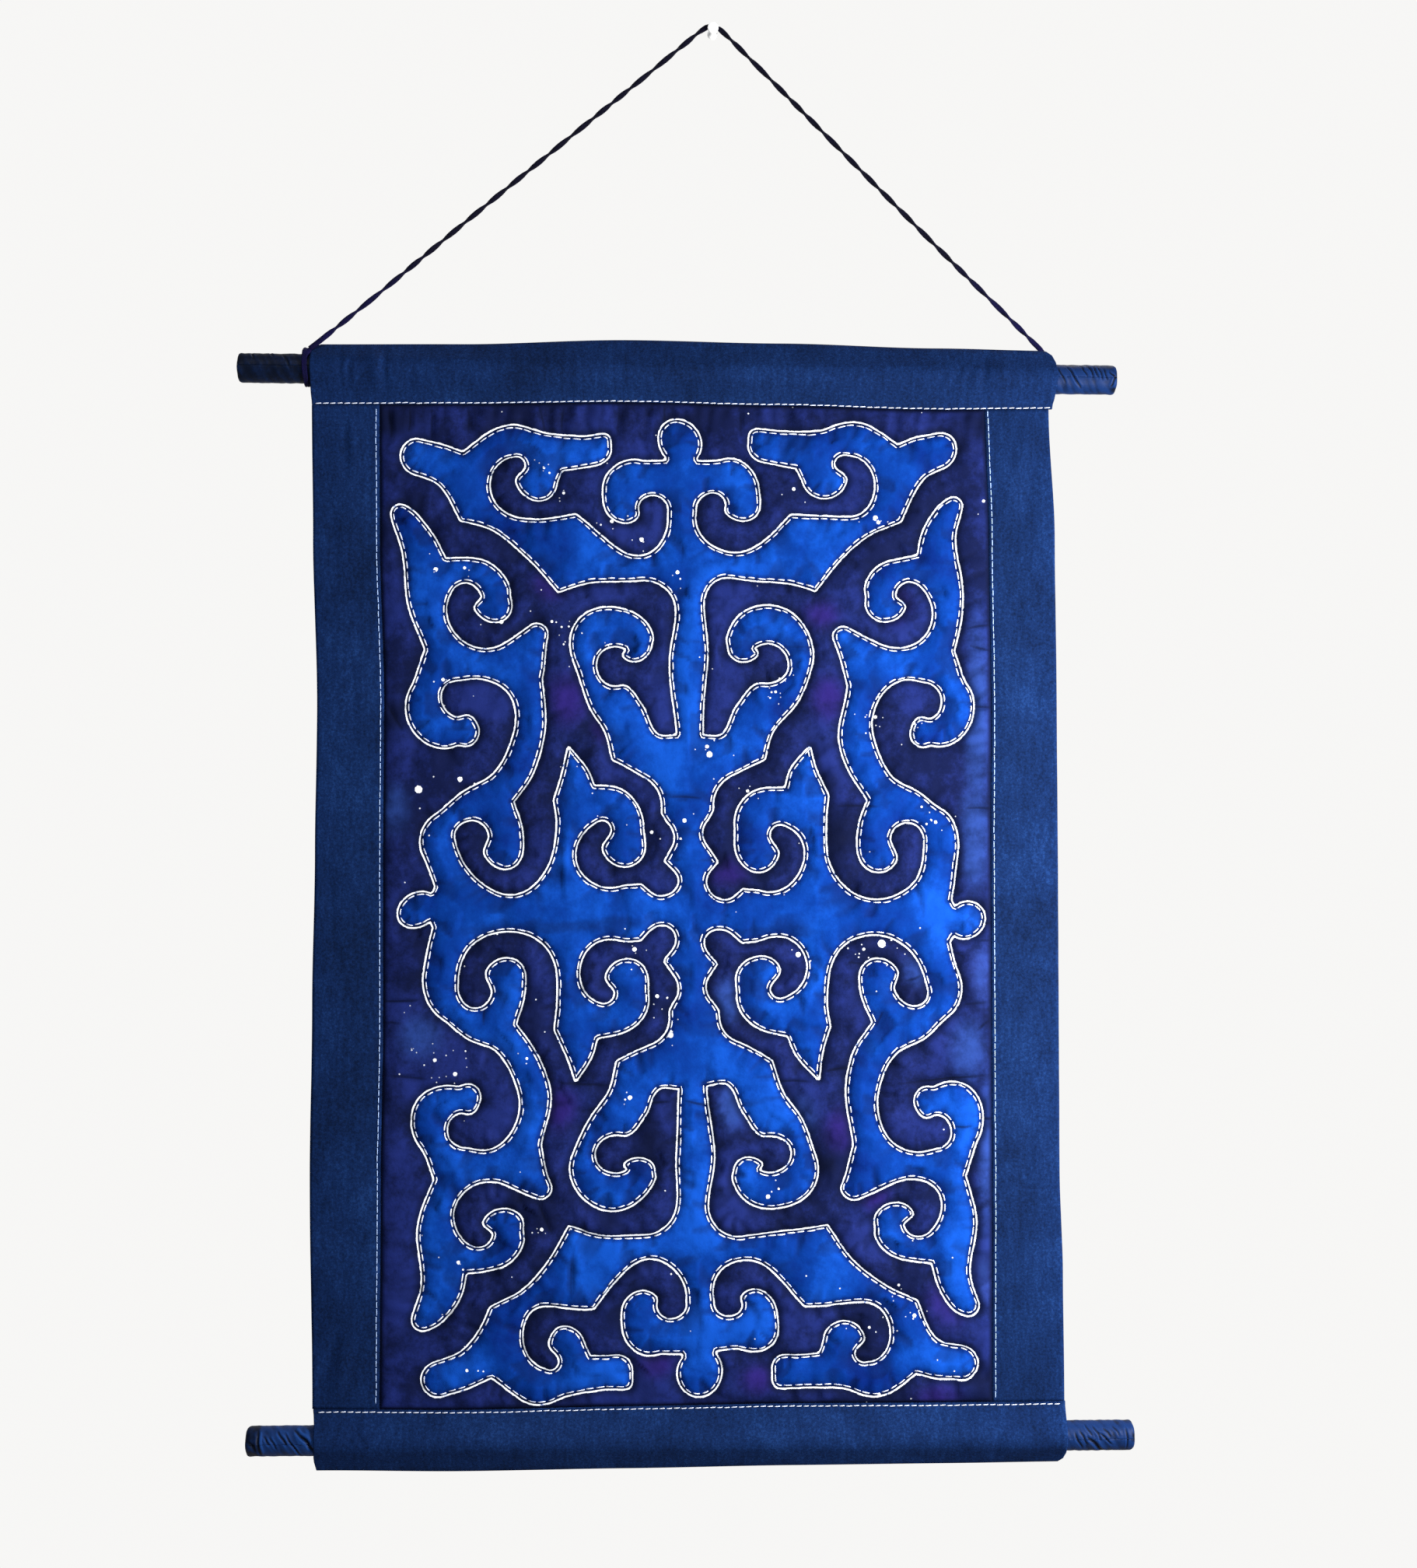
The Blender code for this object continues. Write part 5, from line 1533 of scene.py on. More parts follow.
@dataclass
class Topstitching:
    """The white machine stitches along the four seams."""

    cloth: Cloth
    thread: Thread
    dash: float
    pitch: float = 4.35 * MM
    margin: float = 3 * MM
    beside: float = 2.2 * MM
    top_inset: float = 0.9 * MM
    bottom_inset: float = 1.9 * MM
    lift: float = 0.05 * MM
    stray: float = 0.08 * MM

    def down(self, walked: Array, off: Array, side: Side) -> Array:
        """The place on a border, beside its seam, at a length up from its bottom."""
        cloth = self.cloth
        z = cloth.panel_bottom + walked
        x = side.value * (cloth.half_panel + self.beside) + cloth.down(f"{side.word} seam", z) + off
        y = cloth.hung_y(x, z) - cloth.seam_thickness / 2 - self.lift
        return np.column_stack((x + cloth.middle_x, y, z))

    def across(self, walked: Array, off: Array, level: Level) -> Array:
        """The place on a sleeve, just inside its seam, at a length from its left end."""
        cloth = self.cloth
        inset = self.top_inset if level is Level.TOP else -self.bottom_inset
        x = walked - cloth.sleeve_length / 2
        z = cloth.seam_z[level] + inset + cloth.across(f"{level.word} seam", x) + off
        y = np.full(len(x), cloth.middle_y - cloth.seam_thickness / 2)
        return np.column_stack((x + cloth.middle_x + cloth.sleeve_shift[level], y, z))

    def row(self, word: str, length: float, ground: Shape, seed: int) -> Object:
        """One row of stitches along a run of the given length."""
        chance = np.random.default_rng(SEED + seed)
        sewn = length - 2 * self.margin
        count = round(sewn / self.pitch)
        starts = self.margin + (np.arange(count) + 0.5) * sewn / count
        lengths = self.dash * chance.uniform(0.93, 1.04, count)
        drift = chance.normal(0, self.stray, count)
        return self.thread.sewn(f"topstitch_{word}", starts, lengths, drift, ground)


# Rods


@dataclass(frozen=True)
class Wrinkle:
    """A crease in a rod's wrap with a soft ridge on each side, or a lone ridge if its depth is below 0.

    Attributes:
        away: Its middle's distance in from the rod's end, in millimetres.
        angle: Its middle's place round the rod in degrees: 0 faces the viewer and 90 is the top.
        reach: Half its length, in millimetres.
        lean: How far it moves right for each millimetre down.
        width: Half its width, in millimetres.
        depth: Its depth, in millimetres.
    """

    away: float
    angle: float
    reach: float
    lean: float
    width: float
    depth: float

    def height(self, x: Array, angle: Array, line: RodLine, side: Side) -> Array:
        """How far it lifts the wrap at places along and round the rod, at one of its ends."""
        beside = x - side.value * (line.length / 2 - self.away * MM)
        round_it = (angle - math.radians(self.angle) + math.pi) % TURN - math.pi
        above = round_it * line.radius
        size = math.hypot(1, self.lean)
        along, over = (self.lean * beside - above) / size, (beside + self.lean * above) / size
        reach, width = self.reach * MM, self.width * MM
        near = (np.abs(along) < reach) & (np.abs(over) < 6 * width)
        over = over + 0.4 * width * np.sin(along / reach * 4 + self.away)
        fade = np.clip(1 - (along / reach) ** 2, 0, 1) ** 0.8
        height = -np.exp(-((over / width) ** 2))
        height += 0.55 * np.exp(-(((np.abs(over) - 2.1 * width) / (1.2 * width)) ** 2))
        return near * self.depth * MM * fade * height


@dataclass(frozen=True)
class RodEnd:
    """One showing end of a wrapped rod.

    Attributes:
        wrinkles: Its creases.
        darkness: How much painted shade darkens it near the end, from 0 to 1.
        dark_for: How far in from the end the painted shade reaches, in millimetres.
    """

    wrinkles: tuple[Wrinkle, ...]
    darkness: float
    dark_for: float = 60.0


@dataclass
class WrappedRod:
    """A rod wrapped in glazed cloth: creased where it shows, with crumpled ends."""

    cloth: Cloth
    level: Level
    line: RodLine
    ends: dict[Side, RodEnd]
    shows: float = 48 * MM
    rows: int = 96
    columns: int = 196
    shown_columns: float = 0.45
    round_end: float = 2.6 * MM
    end_drop: float = 1.9 * MM
    crumple: float = 0.3 * MM
    ruffle: float = 0.26 * MM
    wrap: float = 0.05 * MM
    lean: float = 0.48

    def station(self, share: Array) -> Array:
        """The place along the rod at each share, close together where it shows."""
        half, ends = self.line.length / 2, self.shown_columns
        places = (-half, self.shows - half, half - self.shows, half)
        return np.interp(share, (0, ends, 1 - ends, 1), places)

    def folded(self, x: Array, angle: Array) -> Array:
        """The height of the folds at places along and round the rod."""
        found = np.zeros(len(x))
        for side, end in self.ends.items():
            for wrinkle in end.wrinkles:
                found += wrinkle.height(x, angle, self.line, side)
        bent = x + self.lean * angle * self.line.radius
        places = np.column_stack((bent / (3.2 * MM), np.cos(angle) * 1.3 + x / (30 * MM)))
        found += self.ruffle * cloudy(places, 1.0, 5.5 + self.line.shift * 100)
        away = self.line.length / 2 - np.abs(x)
        return found * smooth_step(self.shows, self.shows * 0.85, away)

    def shape(self, share: Array, around: Array) -> Array:
        """The wrap's places at shares along and round the rod."""
        line, half = self.line, self.line.length / 2
        x = self.station(share)
        angle = TURN * around
        folds = self.folded(x, angle)
        away = half - np.abs(x)
        rounding = np.sqrt(np.clip(1 - (1 - np.clip(away / self.round_end, 0, 1)) ** 2, 0, 1))
        crumple = self.crumple * np.sin(5 * angle + 300 * x) * smooth_step(5 * MM, 0, away)
        radius = line.radius + self.wrap - self.end_drop * (1 - rounding) + folds + crumple
        # painted shade in creases and painted highlight on folds, for the wrap's colour
        self.fold_light_and_shade = np.clip(0.55 + folds / (0.55 * MM) + crumple / (0.7 * MM), 0, 1)
        for side, end in self.ends.items():
            # painted shade: each end's colour darkens towards the end, the top left one most, where the
            # sleeve shades it
            inward = half - side.value * x
            dark = smooth_step(end.dark_for + 1, end.dark_for - 1, inward / MM)
            self.fold_light_and_shade *= 1 - end.darkness * dark
        turn = Matrix.Rotation(line.tilt, 3, "Y")
        flat = np.column_stack((x, -radius * np.cos(angle), radius * np.sin(angle)))
        places = flat @ np.array(turn).T
        return places + np.array((self.cloth.middle_x + line.shift, self.cloth.middle_y, line.middle_z))

    def build(self, material: Material) -> Object:
        """Makes the wrapped rod."""
        bm = bmesh.new()
        layer = bm.verts.layers.float.new("fold")
        made = shaped_grid(bm, self.columns, self.rows, self.shape)
        for vert, value in zip(made, self.fold_light_and_shade):
            vert[layer] = value
        bmesh.ops.remove_doubles(bm, verts=made, dist=MERGE)
        fill_ends(bm)
        return named_object(f"wrapped_rod_{self.level.word}", bm, material)


# Cord and pin


def steps_along(points: Array) -> Array:
    """The lengths of the steps between the points of a line."""
    return np.linalg.norm(np.diff(points, axis=0), axis=1)


def unit(rows: Array) -> Array:
    """Rows of directions, each brought to length 1."""
    return rows / np.linalg.norm(rows, axis=1)[:, None]


def between(t: float, low: float, high: float, first: Array, second: Array) -> Array:
    """The place at t on the straight way from the first, at low, to the second, at high."""
    return (high - t) / (high - low) * first + (t - low) / (high - low) * second


@dataclass
class HangingCord:
    """The flat braid over the pin, twisted along both legs."""

    width: float = 3.3 * MM
    thickness: float = 1.6 * MM
    half_turn: float = 16.5 * MM
    flat_at_pin: float = 4 * MM
    quick_turn: tuple[float, float] = (1.5 * MM, 6 * MM)
    flat_at_end: float = 12 * MM
    pin_point: int = 10
    fine_steps: int = 60
    steps: int = 420
    path_step: int = 7
    # from the tie on the top rod's left end, over the pin, to the knot behind the top sleeve
    route: tuple = (
        (-0.2434, -0.0200, -0.1998), (-0.2405, -0.0198, -0.1975), (-0.2360, -0.0195, -0.1938),
        (-0.2050, -0.0180, -0.1680), (-0.1500, -0.0153, -0.1210), (-0.0930, -0.0126, -0.0730),
        (-0.0370, -0.0100, -0.0260), (-0.0170, -0.0090, -0.0090), (-0.0080, -0.0085, -0.0014),
        (-0.0030, -0.0082, 0.0019), (0.0000, -0.0082, 0.0027), (0.0028, -0.0082, 0.0015),
        (0.0075, -0.0082, -0.0026), (0.0255, -0.0082, -0.0205), (0.0830, -0.0082, -0.0785),
        (0.1400, -0.0082, -0.1359), (0.1780, -0.0082, -0.1734), (0.1960, -0.0081, -0.1914),
        (0.2011, -0.0078, -0.1967), (0.2032, -0.0074, -0.2011),
    )
    # half width and half thickness shares of the section's corners, in order round it
    section: tuple = (
        (1, 0), (0.86, -0.75), (0.45, -1), (-0.45, -1), (-0.86, -0.75), (-1, 0), (-0.86, 0.75),
        (-0.45, 1), (0.45, 1), (0.86, 0.75),
    )

    def smooth_route(self) -> tuple[Array, Array]:
        """A smooth curve through the route's points, with the length walked at each place."""
        points = np.array(self.route, float)
        knots = np.concatenate(([0], np.cumsum(steps_along(points) ** 0.5)))
        padded = np.vstack((2 * points[0] - points[1], points, 2 * points[-1] - points[-2]))
        times = np.concatenate(([-knots[1]], knots, [2 * knots[-1] - knots[-2]]))
        fine = []
        for index in range(1, len(points)):
            p0, p1, p2, p3 = padded[index - 1 : index + 3]
            t0, t1, t2, t3 = times[index - 1 : index + 3]
            for t in np.linspace(t1, t2, self.fine_steps, endpoint=False):
                middle = between(t, t1, t2, p1, p2)
                before = between(t, t0, t2, between(t, t0, t1, p0, p1), middle)
                after = between(t, t1, t3, middle, between(t, t2, t3, p2, p3))
                fine.append(between(t, t1, t2, before, after))
        fine = np.vstack((fine, points[-1:]))
        return fine, np.concatenate(([0], np.cumsum(steps_along(fine))))

    def twist(self, lengths: Array, at_pin: float, whole: float) -> Array:
        """How far the braid is turned about its own line at each length walked."""
        away = lengths - at_pin
        leg = np.where(away < 0, at_pin, whole - at_pin)
        half_turns = np.round((leg - self.flat_at_pin - self.flat_at_end) / self.half_turn)
        start, quick_end = self.quick_turn
        share = np.clip((np.abs(away) - quick_end) / (leg - quick_end - self.flat_at_end), 0, 1)
        share = share + 0.004 * np.sin(4 * TURN * share) * (1 + np.sin(9 * share + away))
        turned = 0.5 * smooth_step(start, quick_end, np.abs(away)) + half_turns * share
        return np.copysign(math.pi * turned, away)

    def build(self, material: Material) -> Object:
        """Makes the braid, and keeps its length and its path."""
        fine, walked = self.smooth_route()
        at_pin = float(walked[np.argmin(np.linalg.norm(fine - self.route[self.pin_point], axis=1))])
        lengths = np.linspace(0, walked[-1], self.steps + 1)
        line = np.column_stack([np.interp(lengths, walked, values) for values in fine.T])
        along = unit(np.gradient(line, axis=0))
        level = unit(np.cross(along, (0, -1, 0)))
        angle = self.twist(lengths, at_pin, float(walked[-1]))
        wide = np.cos(angle)[:, None] * np.cross(level, along) + np.sin(angle)[:, None] * level
        thin = np.cross(along, wide)
        corners = np.array((*self.section, self.section[0]))

        def shape(u: Array, v: Array) -> Array:
            """The braid's places at shares along and round it."""
            index = np.rint(u * self.steps).astype(int)
            corner = np.rint(v * len(self.section)).astype(int)
            half_wide = corners[corner, 0:1] * self.width / 2
            half_thin = corners[corner, 1:2] * self.thickness / 2
            self.flat = np.column_stack((lengths[index] / MM, half_wide[:, 0] / MM))
            return line[index] + half_wide * wide[index] + half_thin * thin[index]

        bm = bmesh.new()
        made = shaped_grid(bm, self.steps, len(self.section), shape)
        write_uv(bm, "braid", self.flat)
        bmesh.ops.remove_doubles(bm, verts=made, dist=MERGE)
        fill_ends(bm)
        self.length = float(walked[-1])
        self.path = [tuple(place) for place in line[:: self.path_step]]
        return named_object("braid_cord", bm, material)


@dataclass
class CordTie:
    """The braid's wrap round the rod's left end: two strands side by side, a knot and a nub."""

    cloth: Cloth
    rod: RodLine
    out: float = 1.7 * MM
    width: float = 3.2 * MM
    thickness: float = 1.3 * MM
    lean: float = 0.5 * MM
    squared: float = 0.65
    groove: float = 0.28 * MM
    groove_width: float = 0.32 * MM
    strand: float = 0.22 * MM
    knot_height: float = 2.4 * MM
    knot_angle: float = math.radians(112)
    knot_shift: float = 1.5 * MM
    knot_spread: float = math.radians(24)
    nub_height: float = 0.9 * MM
    nub_angle: float = math.radians(-95)
    nub_spread: float = math.radians(16)
    turns: int = 120
    section_steps: int = 20

    def bump(self, angle: Array, centre: float, spread: float) -> Array:
        """A smooth bump of height 1 round a circle."""
        away = (angle - centre + math.pi) % TURN - math.pi
        return np.exp(-((away / spread) ** 2))

    def full(self, wave: Array) -> Array:
        """A sine or cosine made fuller, which squares the section."""
        return np.sign(wave) * np.abs(wave) ** self.squared

    def shape(self, u: Array, v: Array) -> Array:
        """The tie's places at shares round the rod and round its own section."""
        angle, turn = TURN * u, TURN * v
        knot = self.bump(angle, self.knot_angle, self.knot_spread)
        nub = self.bump(angle, self.nub_angle, self.nub_spread)
        tall = self.thickness + self.knot_height * knot + self.nub_height * nub
        inner = self.rod.radius + self.cloth.gap
        across = self.width / 2 * (1 + 0.8 * knot) * self.full(np.cos(turn))
        up = 0.5 + 0.5 * self.full(np.sin(turn))
        groove = self.groove * np.exp(-((across / self.groove_width) ** 2)) * (up > 0.5) * (1 - 0.5 * knot)
        strands = self.strand * np.sin(across / MM * 2.2 + angle * 9) * knot * up
        radius = inner + tall * up - groove + strands
        x = -self.cloth.sleeve_length / 2 - self.cloth.gap - self.out
        lean = -self.lean * np.sin(angle) + self.knot_shift * knot
        self.flat = np.column_stack((angle * inner / MM, across / MM))
        y = self.cloth.middle_y + radius * np.cos(angle)
        z = self.rod.height(x) + radius * np.sin(angle)
        return np.column_stack((self.cloth.middle_x + x + lean + across, y, z))

    def build(self, material: Material) -> Object:
        """Makes the tie."""
        bm = bmesh.new()
        made = shaped_grid(bm, self.turns, self.section_steps, self.shape)
        write_uv(bm, "braid", self.flat)
        bmesh.ops.remove_doubles(bm, verts=made, dist=MERGE)
        return named_object("rod_tie", bm, material)


@dataclass
class CordKnot:
    """The small knot that ends the braid behind the top sleeve."""

    middle: Vector = field(default_factory=lambda: Vector((0.2036, -0.0072, -0.2040)))
    radii: tuple[float, float, float] = (2.5 * MM, 2.2 * MM, 2.4 * MM)
    ridge: float = 0.16

    def build(self, material: Material) -> Object:
        """Makes the knot: a ball whose strands pass over and under each other."""
        bm = bmesh.new()
        bmesh.ops.create_icosphere(bm, subdivisions=4, radius=1)
        flat = []
        for vert in bm.verts:
            angle = math.atan2(vert.co.z, vert.co.x)
            strand = math.cos(3 * angle + 2.4 * vert.co.y) * math.cos(4 * vert.co.y)
            swell = 1 - self.ridge * (1 - strand) / 2
            away = Vector([r * c * swell for r, c in zip(self.radii, vert.co)])
            vert.co = self.middle + away
            flat.append(((away.x + away.z) / MM, away.y / MM))
        write_uv(bm, "braid", flat)
        return named_object("end_knot", bm, material)


@dataclass
class WallPin:
    """The white pin: a turned spool whose flat back lies on the wall."""

    steps: int = 56
    crown: float = 0.05
    # distance from the wall and radius, in millimetres
    profile: tuple = (
        (0.0, 2.9), (0.12, 3.1), (0.4, 3.2), (1.4, 3.2), (1.7, 3.1), (2.2, 2.8), (3.0, 2.15), (4.2, 1.8),
        (6.6, 1.74), (9.2, 1.8), (9.8, 2.2), (10.3, 2.9), (10.7, 3.2), (11.2, 3.3), (12.3, 3.25),
        (12.7, 3.0), (12.95, 2.55), (13.1, 1.3),
    )

    def build(self, material: Material) -> Object:
        """Makes the pin."""
        bm = bmesh.new()
        rows = ((0.0, 0.0), *self.profile, (self.profile[-1][0] + self.crown, 0.0))
        turned = [bm.verts.new((radius * MM, -out * MM, 0)) for out, radius in rows]
        line = turned + [bm.edges.new(pair) for pair in zip(turned, turned[1:])]
        bmesh.ops.spin(bm, geom=line, axis=(0, 1, 0), angle=TURN, steps=self.steps, use_merge=True)
        bmesh.ops.remove_doubles(bm, verts=bm.verts, dist=MERGE / 2)
        return named_object("pin_spool", bm, material)


# Studio


@dataclass
class Studio:
    """A plain pale floor well below the hanging, soft light from the right and one light behind."""

    floor_z: float = -1.95
    floor_size: float = 3.4
    pale: Colour = srgb(236, 235, 232)
    behind: Colour = (0.93, 0.925, 0.915)
    before: Colour = (0.35, 0.362, 0.385)
    aim: Vector = field(default_factory=lambda: Vector((-0.018, -0.016, -0.5)))

    def light(self, name: str, place: tuple[float, float, float], size: float, power: float) -> None:
        """A soft square light that faces the hanging's middle."""
        data = bpy.data.lights.new(name, "AREA")
        data.size = size
        data.energy = power
        made = bpy.data.objects.new(name, data)
        made.location = place
        made.rotation_euler = (self.aim - Vector(place)).to_track_quat("-Z", "Y").to_euler()
        bpy.context.scene.collection.objects.link(made)

    def room(self) -> bpy.types.World:
        """The world: pale behind the hanging and dimmer on the viewer's side."""
        shader = Shader(bpy.data.worlds.new("pale room"), "Background")
        _, toward, _ = shader.axes(shader.node("TexCoord", {}, {}, "Generated"))
        colour = shader.mixed(shader.rise(toward, 0.3, 0.8), self.before, self.behind)
        return shader.finished({"Color": colour, "Strength": 1.0})

    def build(self) -> None:
        """Makes the floor, the lights and the world."""
        shader = Shader.of_material("pale floor")
        pale = shader.finished({"Base Color": self.pale, "Roughness": 0.9})
        bm = bmesh.new()
        bmesh.ops.create_grid(bm, x_segments=1, y_segments=1, size=self.floor_size / 2)
        bmesh.ops.translate(bm, verts=bm.verts, vec=(0, 0, self.floor_z))
        named_object("pale_floor", bm, pale, turn_out=False)
        bpy.context.scene.world = self.room()
        bpy.context.scene.view_settings.view_transform = "Standard"
        self.light("key light", (0.6, -0.47, -0.52), 0.34, 20)
        self.light("fill light", (-0.1, -0.8, 0.4), 0.4, 6)
        self.light("back light", (0.3, 0.9, 1.3), 0.5, 12)


# middle in the photo, drop size, specks, spread, angle and stretch
SPLASHES = rows_of(
    Splash,
    (725, 635, 1.6, 3, 5), (787, 671, 2.2, 3, 5), (825, 695, 2.6, 4, 7),
    (700, 603, 1.4, 6, 4, -40, 1.6), (1020, 630, 2.0, 2, 6), (1125, 667, 3.0, 3, 5),
    (1129, 672, 2.4), (561, 733, 2.6, 2, 8), (598, 731, 1.8, 2, 4), (645, 800, 2.4, 2, 6),
    (710, 800, 1.6, 8, 9, -20, 1.5), (871, 737, 2.2, 4, 6, 90, 2.0), (912, 970, 3.6, 4, 6, -70, 1.5),
    (909, 960, 2.2), (997, 890, 1.6, 10, 6, 60, 1.6), (1125, 922, 2.0, 9, 6), (1175, 930, 1.6, 6, 4),
    (539, 1015, 4.4, 1, 9), (592, 1002, 3.0, 2, 6), (570, 874, 2.0, 2, 5), (880, 1055, 2.4, 2, 6),
    (838, 1070, 2.0), (1202, 1057, 2.0, 9, 8, -50, 1.4), (961, 1017, 1.8, 3, 5),
    (1264, 645, 1.8, 2, 6), (816, 1220, 2.6, 4, 5, -60, 1.6), (845, 1280, 2.2, 8, 9, -65, 1.8),
    (862, 1330, 3.4, 2, 5), (1133, 1213, 4.6, 2, 7), (1110, 1220, 1.8, 7, 5, 20, 1.4),
    (1026, 1227, 3.0, 2, 5), (560, 1362, 2.2, 12, 9, -60, 1.4), (586, 1380, 2.4, 5, 5),
    (678, 1360, 1.6, 2, 5), (810, 1410, 2.6, 4, 5, -45, 1.3), (697, 1579, 2.0, 2, 5),
    (590, 1622, 2.2, 3, 7), (987, 1537, 2.6, 3, 6, 40, 1.4), (1175, 1690, 2.2, 6, 7),
    (1155, 1651, 1.6, 4, 4), (1117, 1705, 1.6, 3, 5), (601, 1760, 1.8, 2, 5),
    (1130, 1792, 1.8, 2, 5),
)

# middle in the photo, half width, half height and strength
DYE_CLOUDS = {
    Dye.VIOLET: rows_of(
        DyeCloud,
        (730, 899, 14, 16, 0.9), (778, 932, 9, 11, 0.9), (1066, 899, 12, 14, 0.9),
        (1055, 791, 12, 10, 0.8), (936, 1121, 14, 10, 0.8), (708, 753, 12, 10, 0.8),
        (1147, 780, 12, 12, 0.8), (719, 1425, 12, 14, 0.9), (1082, 1452, 12, 14, 0.8),
        (1125, 1534, 10, 12, 0.8), (1217, 1675, 14, 16, 0.8), (843, 1750, 12, 10, 0.9),
        (973, 1772, 12, 10, 0.8), (1206, 1794, 16, 9, 0.8), (1262, 1250, 8, 18, 0.6),
        (1266, 1640, 8, 16, 0.7),
    ),
    Dye.SLATE: rows_of(
        DyeCloud,
        (1255, 926, 8, 62, 0.9), (1252, 1075, 9, 34, 0.9), (508, 1040, 10, 16, 0.8),
        (540, 1333, 14, 14, 0.8), (1244, 1350, 12, 20, 0.9), (936, 1285, 10, 14, 0.8),
        (941, 1420, 10, 16, 0.8), (1028, 1436, 10, 14, 0.8), (1185, 1247, 14, 10, 0.8),
        (1262, 1250, 8, 20, 0.8), (1266, 1640, 8, 18, 0.8), (1268, 1480, 7, 60, 0.7),
    ),
    Dye.BLACK: rows_of(
        DyeCloud,
        (1060, 1007, 10, 9, 0.9), (1076, 1078, 9, 20, 0.9), (507, 920, 8, 12, 0.9),
        (686, 1309, 9, 22, 0.8), (833, 1458, 9, 16, 0.8), (665, 1539, 9, 9, 0.8),
        (697, 1572, 8, 8, 0.8), (784, 1572, 10, 9, 0.8), (811, 1631, 9, 10, 0.8),
        (789, 1693, 9, 10, 0.8), (1060, 1496, 9, 9, 0.8), (505, 540, 16, 14, 0.9),
        (1255, 545, 16, 14, 0.7), (1262, 1790, 14, 20, 0.9),
    ),
    Dye.LIGHT: rows_of(
        DyeCloud,
        (1233, 1525, 14, 55, 1.0), (892, 1550, 14, 50, 0.8), (640, 1190, 45, 10, 0.5),
        (1150, 1150, 30, 12, 0.4),
    ),
}

# middle in the photo, length, angle, width and depth
PANEL_CREASES = rows_of(
    Crease,
    (1102, 1037, 26, 2, 1.6, 1.2), (1258, 807, 16, 8, 1.8, 1.4), (1260, 834, 15, -6, 1.6, 1.0),
    (1259, 910, 16, 4, 1.8, 1.4), (1258, 1040, 17, -3, 1.8, 1.4), (1213, 1387, 58, 4, 1.3, 1.6),
    (1028, 831, 24, 5, 2.2, 1.2), (881, 1026, 20, -4, 1.8, 1.2), (513, 1286, 28, 3, 1.3, 1.7),
    (508, 920, 24, -62, 1.8, 1.4), (716, 1191, 150, 1, 4.0, 1.0), (998, 1198, 65, -2, 3.4, 1.0),
    (702, 1564, 26, -66, 1.8, 1.4), (736, 1637, 28, 84, 2.2, 1.5), (502, 545, 20, 92, 1.8, 1.5),
    (527, 541, 16, 84, 1.6, 1.2), (556, 545, 22, 95, 2.0, 1.5), (602, 541, 18, 88, 1.8, 1.2),
    (697, 540, 18, 97, 1.8, 1.4), (724, 541, 16, 85, 1.6, 1.2), (795, 543, 20, 92, 2.0, 1.4),
    (854, 541, 18, 86, 1.6, 1.4), (952, 543, 20, 96, 2.0, 1.5), (1010, 560, 34, 78, 3.0, 1.5),
    (1077, 1374, 18, 12, 1.4, 1.4), (1019, 1390, 24, -2, 1.6, 1.2), (1267, 1186, 9, 2, 1.0, 1.3),
    (1266, 1209, 8, 6, 1.0, 0.9), (1232, 1227, 9, -34, 1.2, 1.0), (1253, 1290, 16, 9, 1.4, 0.9),
    (1264, 1318, 11, 35, 1.3, 0.9), (1102, 1239, 13, -4, 1.6, 1.1), (1174, 1257, 11, 14, 1.4, 1.0),
    (896, 1417, 15, -8, 1.6, 1.1), (1236, 1447, 12, 0, 1.6, 1.0), (1268, 1437, 9, -6, 1.0, 1.2),
    (1131, 1309, 10, 60, 1.2, 1.0), (524, 1385, 28, -2, 1.8, 1.2), (505, 1315, 11, 0, 1.4, 0.8),
    (754, 1393, 35, -6, 1.8, 1.3), (848, 1416, 13, -3, 1.6, 1.3), (592, 1461, 20, -35, 2.2, 1.2),
    (624, 1303, 15, 88, 1.6, 0.9),
)

BORDER_CREASES = {
    Side.LEFT: rows_of(
        Crease,
        (444, 572, 50, 91, 1.8, 0.9), (452, 574, 48, 91, 3.0, -0.6), (430, 700, 60, 97, 3.0, 0.5),
        (452, 905, 70, 88, 3.2, 0.4), (428, 1180, 80, 93, 3.0, 0.4), (440, 1765, 56, 74, 4.0, -0.7),
        (425, 1740, 50, 76, 3.0, 0.6),
    ),
    Side.RIGHT: rows_of(
        Crease,
        (1308, 610, 70, 74, 4.5, -0.6), (1322, 640, 60, 78, 3.5, 0.5), (1312, 1120, 16, 12, 2.0, 0.5),
        (1320, 1160, 18, -14, 2.0, 0.5), (1308, 1195, 15, 20, 2.0, 0.4), (1330, 900, 90, 92, 3.5, 0.4),
        (1318, 1500, 90, 86, 3.5, 0.4),
    ),
}

SLEEVE_CREASES = {
    Level.TOP: rows_of(
        Crease,
        (483, 476, 34, 90, 3.0, -0.9), (498, 478, 34, 90, 2.2, 0.9), (438, 478, 26, 92, 1.8, 0.7),
        (450, 482, 24, 88, 1.6, 0.6), (529, 494, 16, 86, 3.5, 0.7), (732, 503, 10, 80, 2.2, 0.7),
        (880, 503, 10, 98, 2.4, 0.7), (1008, 503, 11, 86, 2.4, 0.8), (1264, 488, 36, 84, 2.2, 1.2),
        (1246, 486, 30, 62, 2.2, 0.8), (1224, 490, 26, 58, 2.4, 0.8), (1205, 494, 22, 60, 2.2, 0.7),
        (1290, 480, 30, 96, 6.0, -0.7),
    ),
    Level.BOTTOM: rows_of(
        Crease,
        (1279, 1850, 30, 92, 3.0, 0.6), (455, 1842, 12, 60, 1.8, 0.7), (466, 1843, 12, 112, 1.6, 0.6),
        (612, 1840, 16, 100, 3.0, 0.5), (840, 1842, 16, 84, 3.0, 0.5), (1100, 1842, 18, 96, 3.0, 0.5),
    ),
}
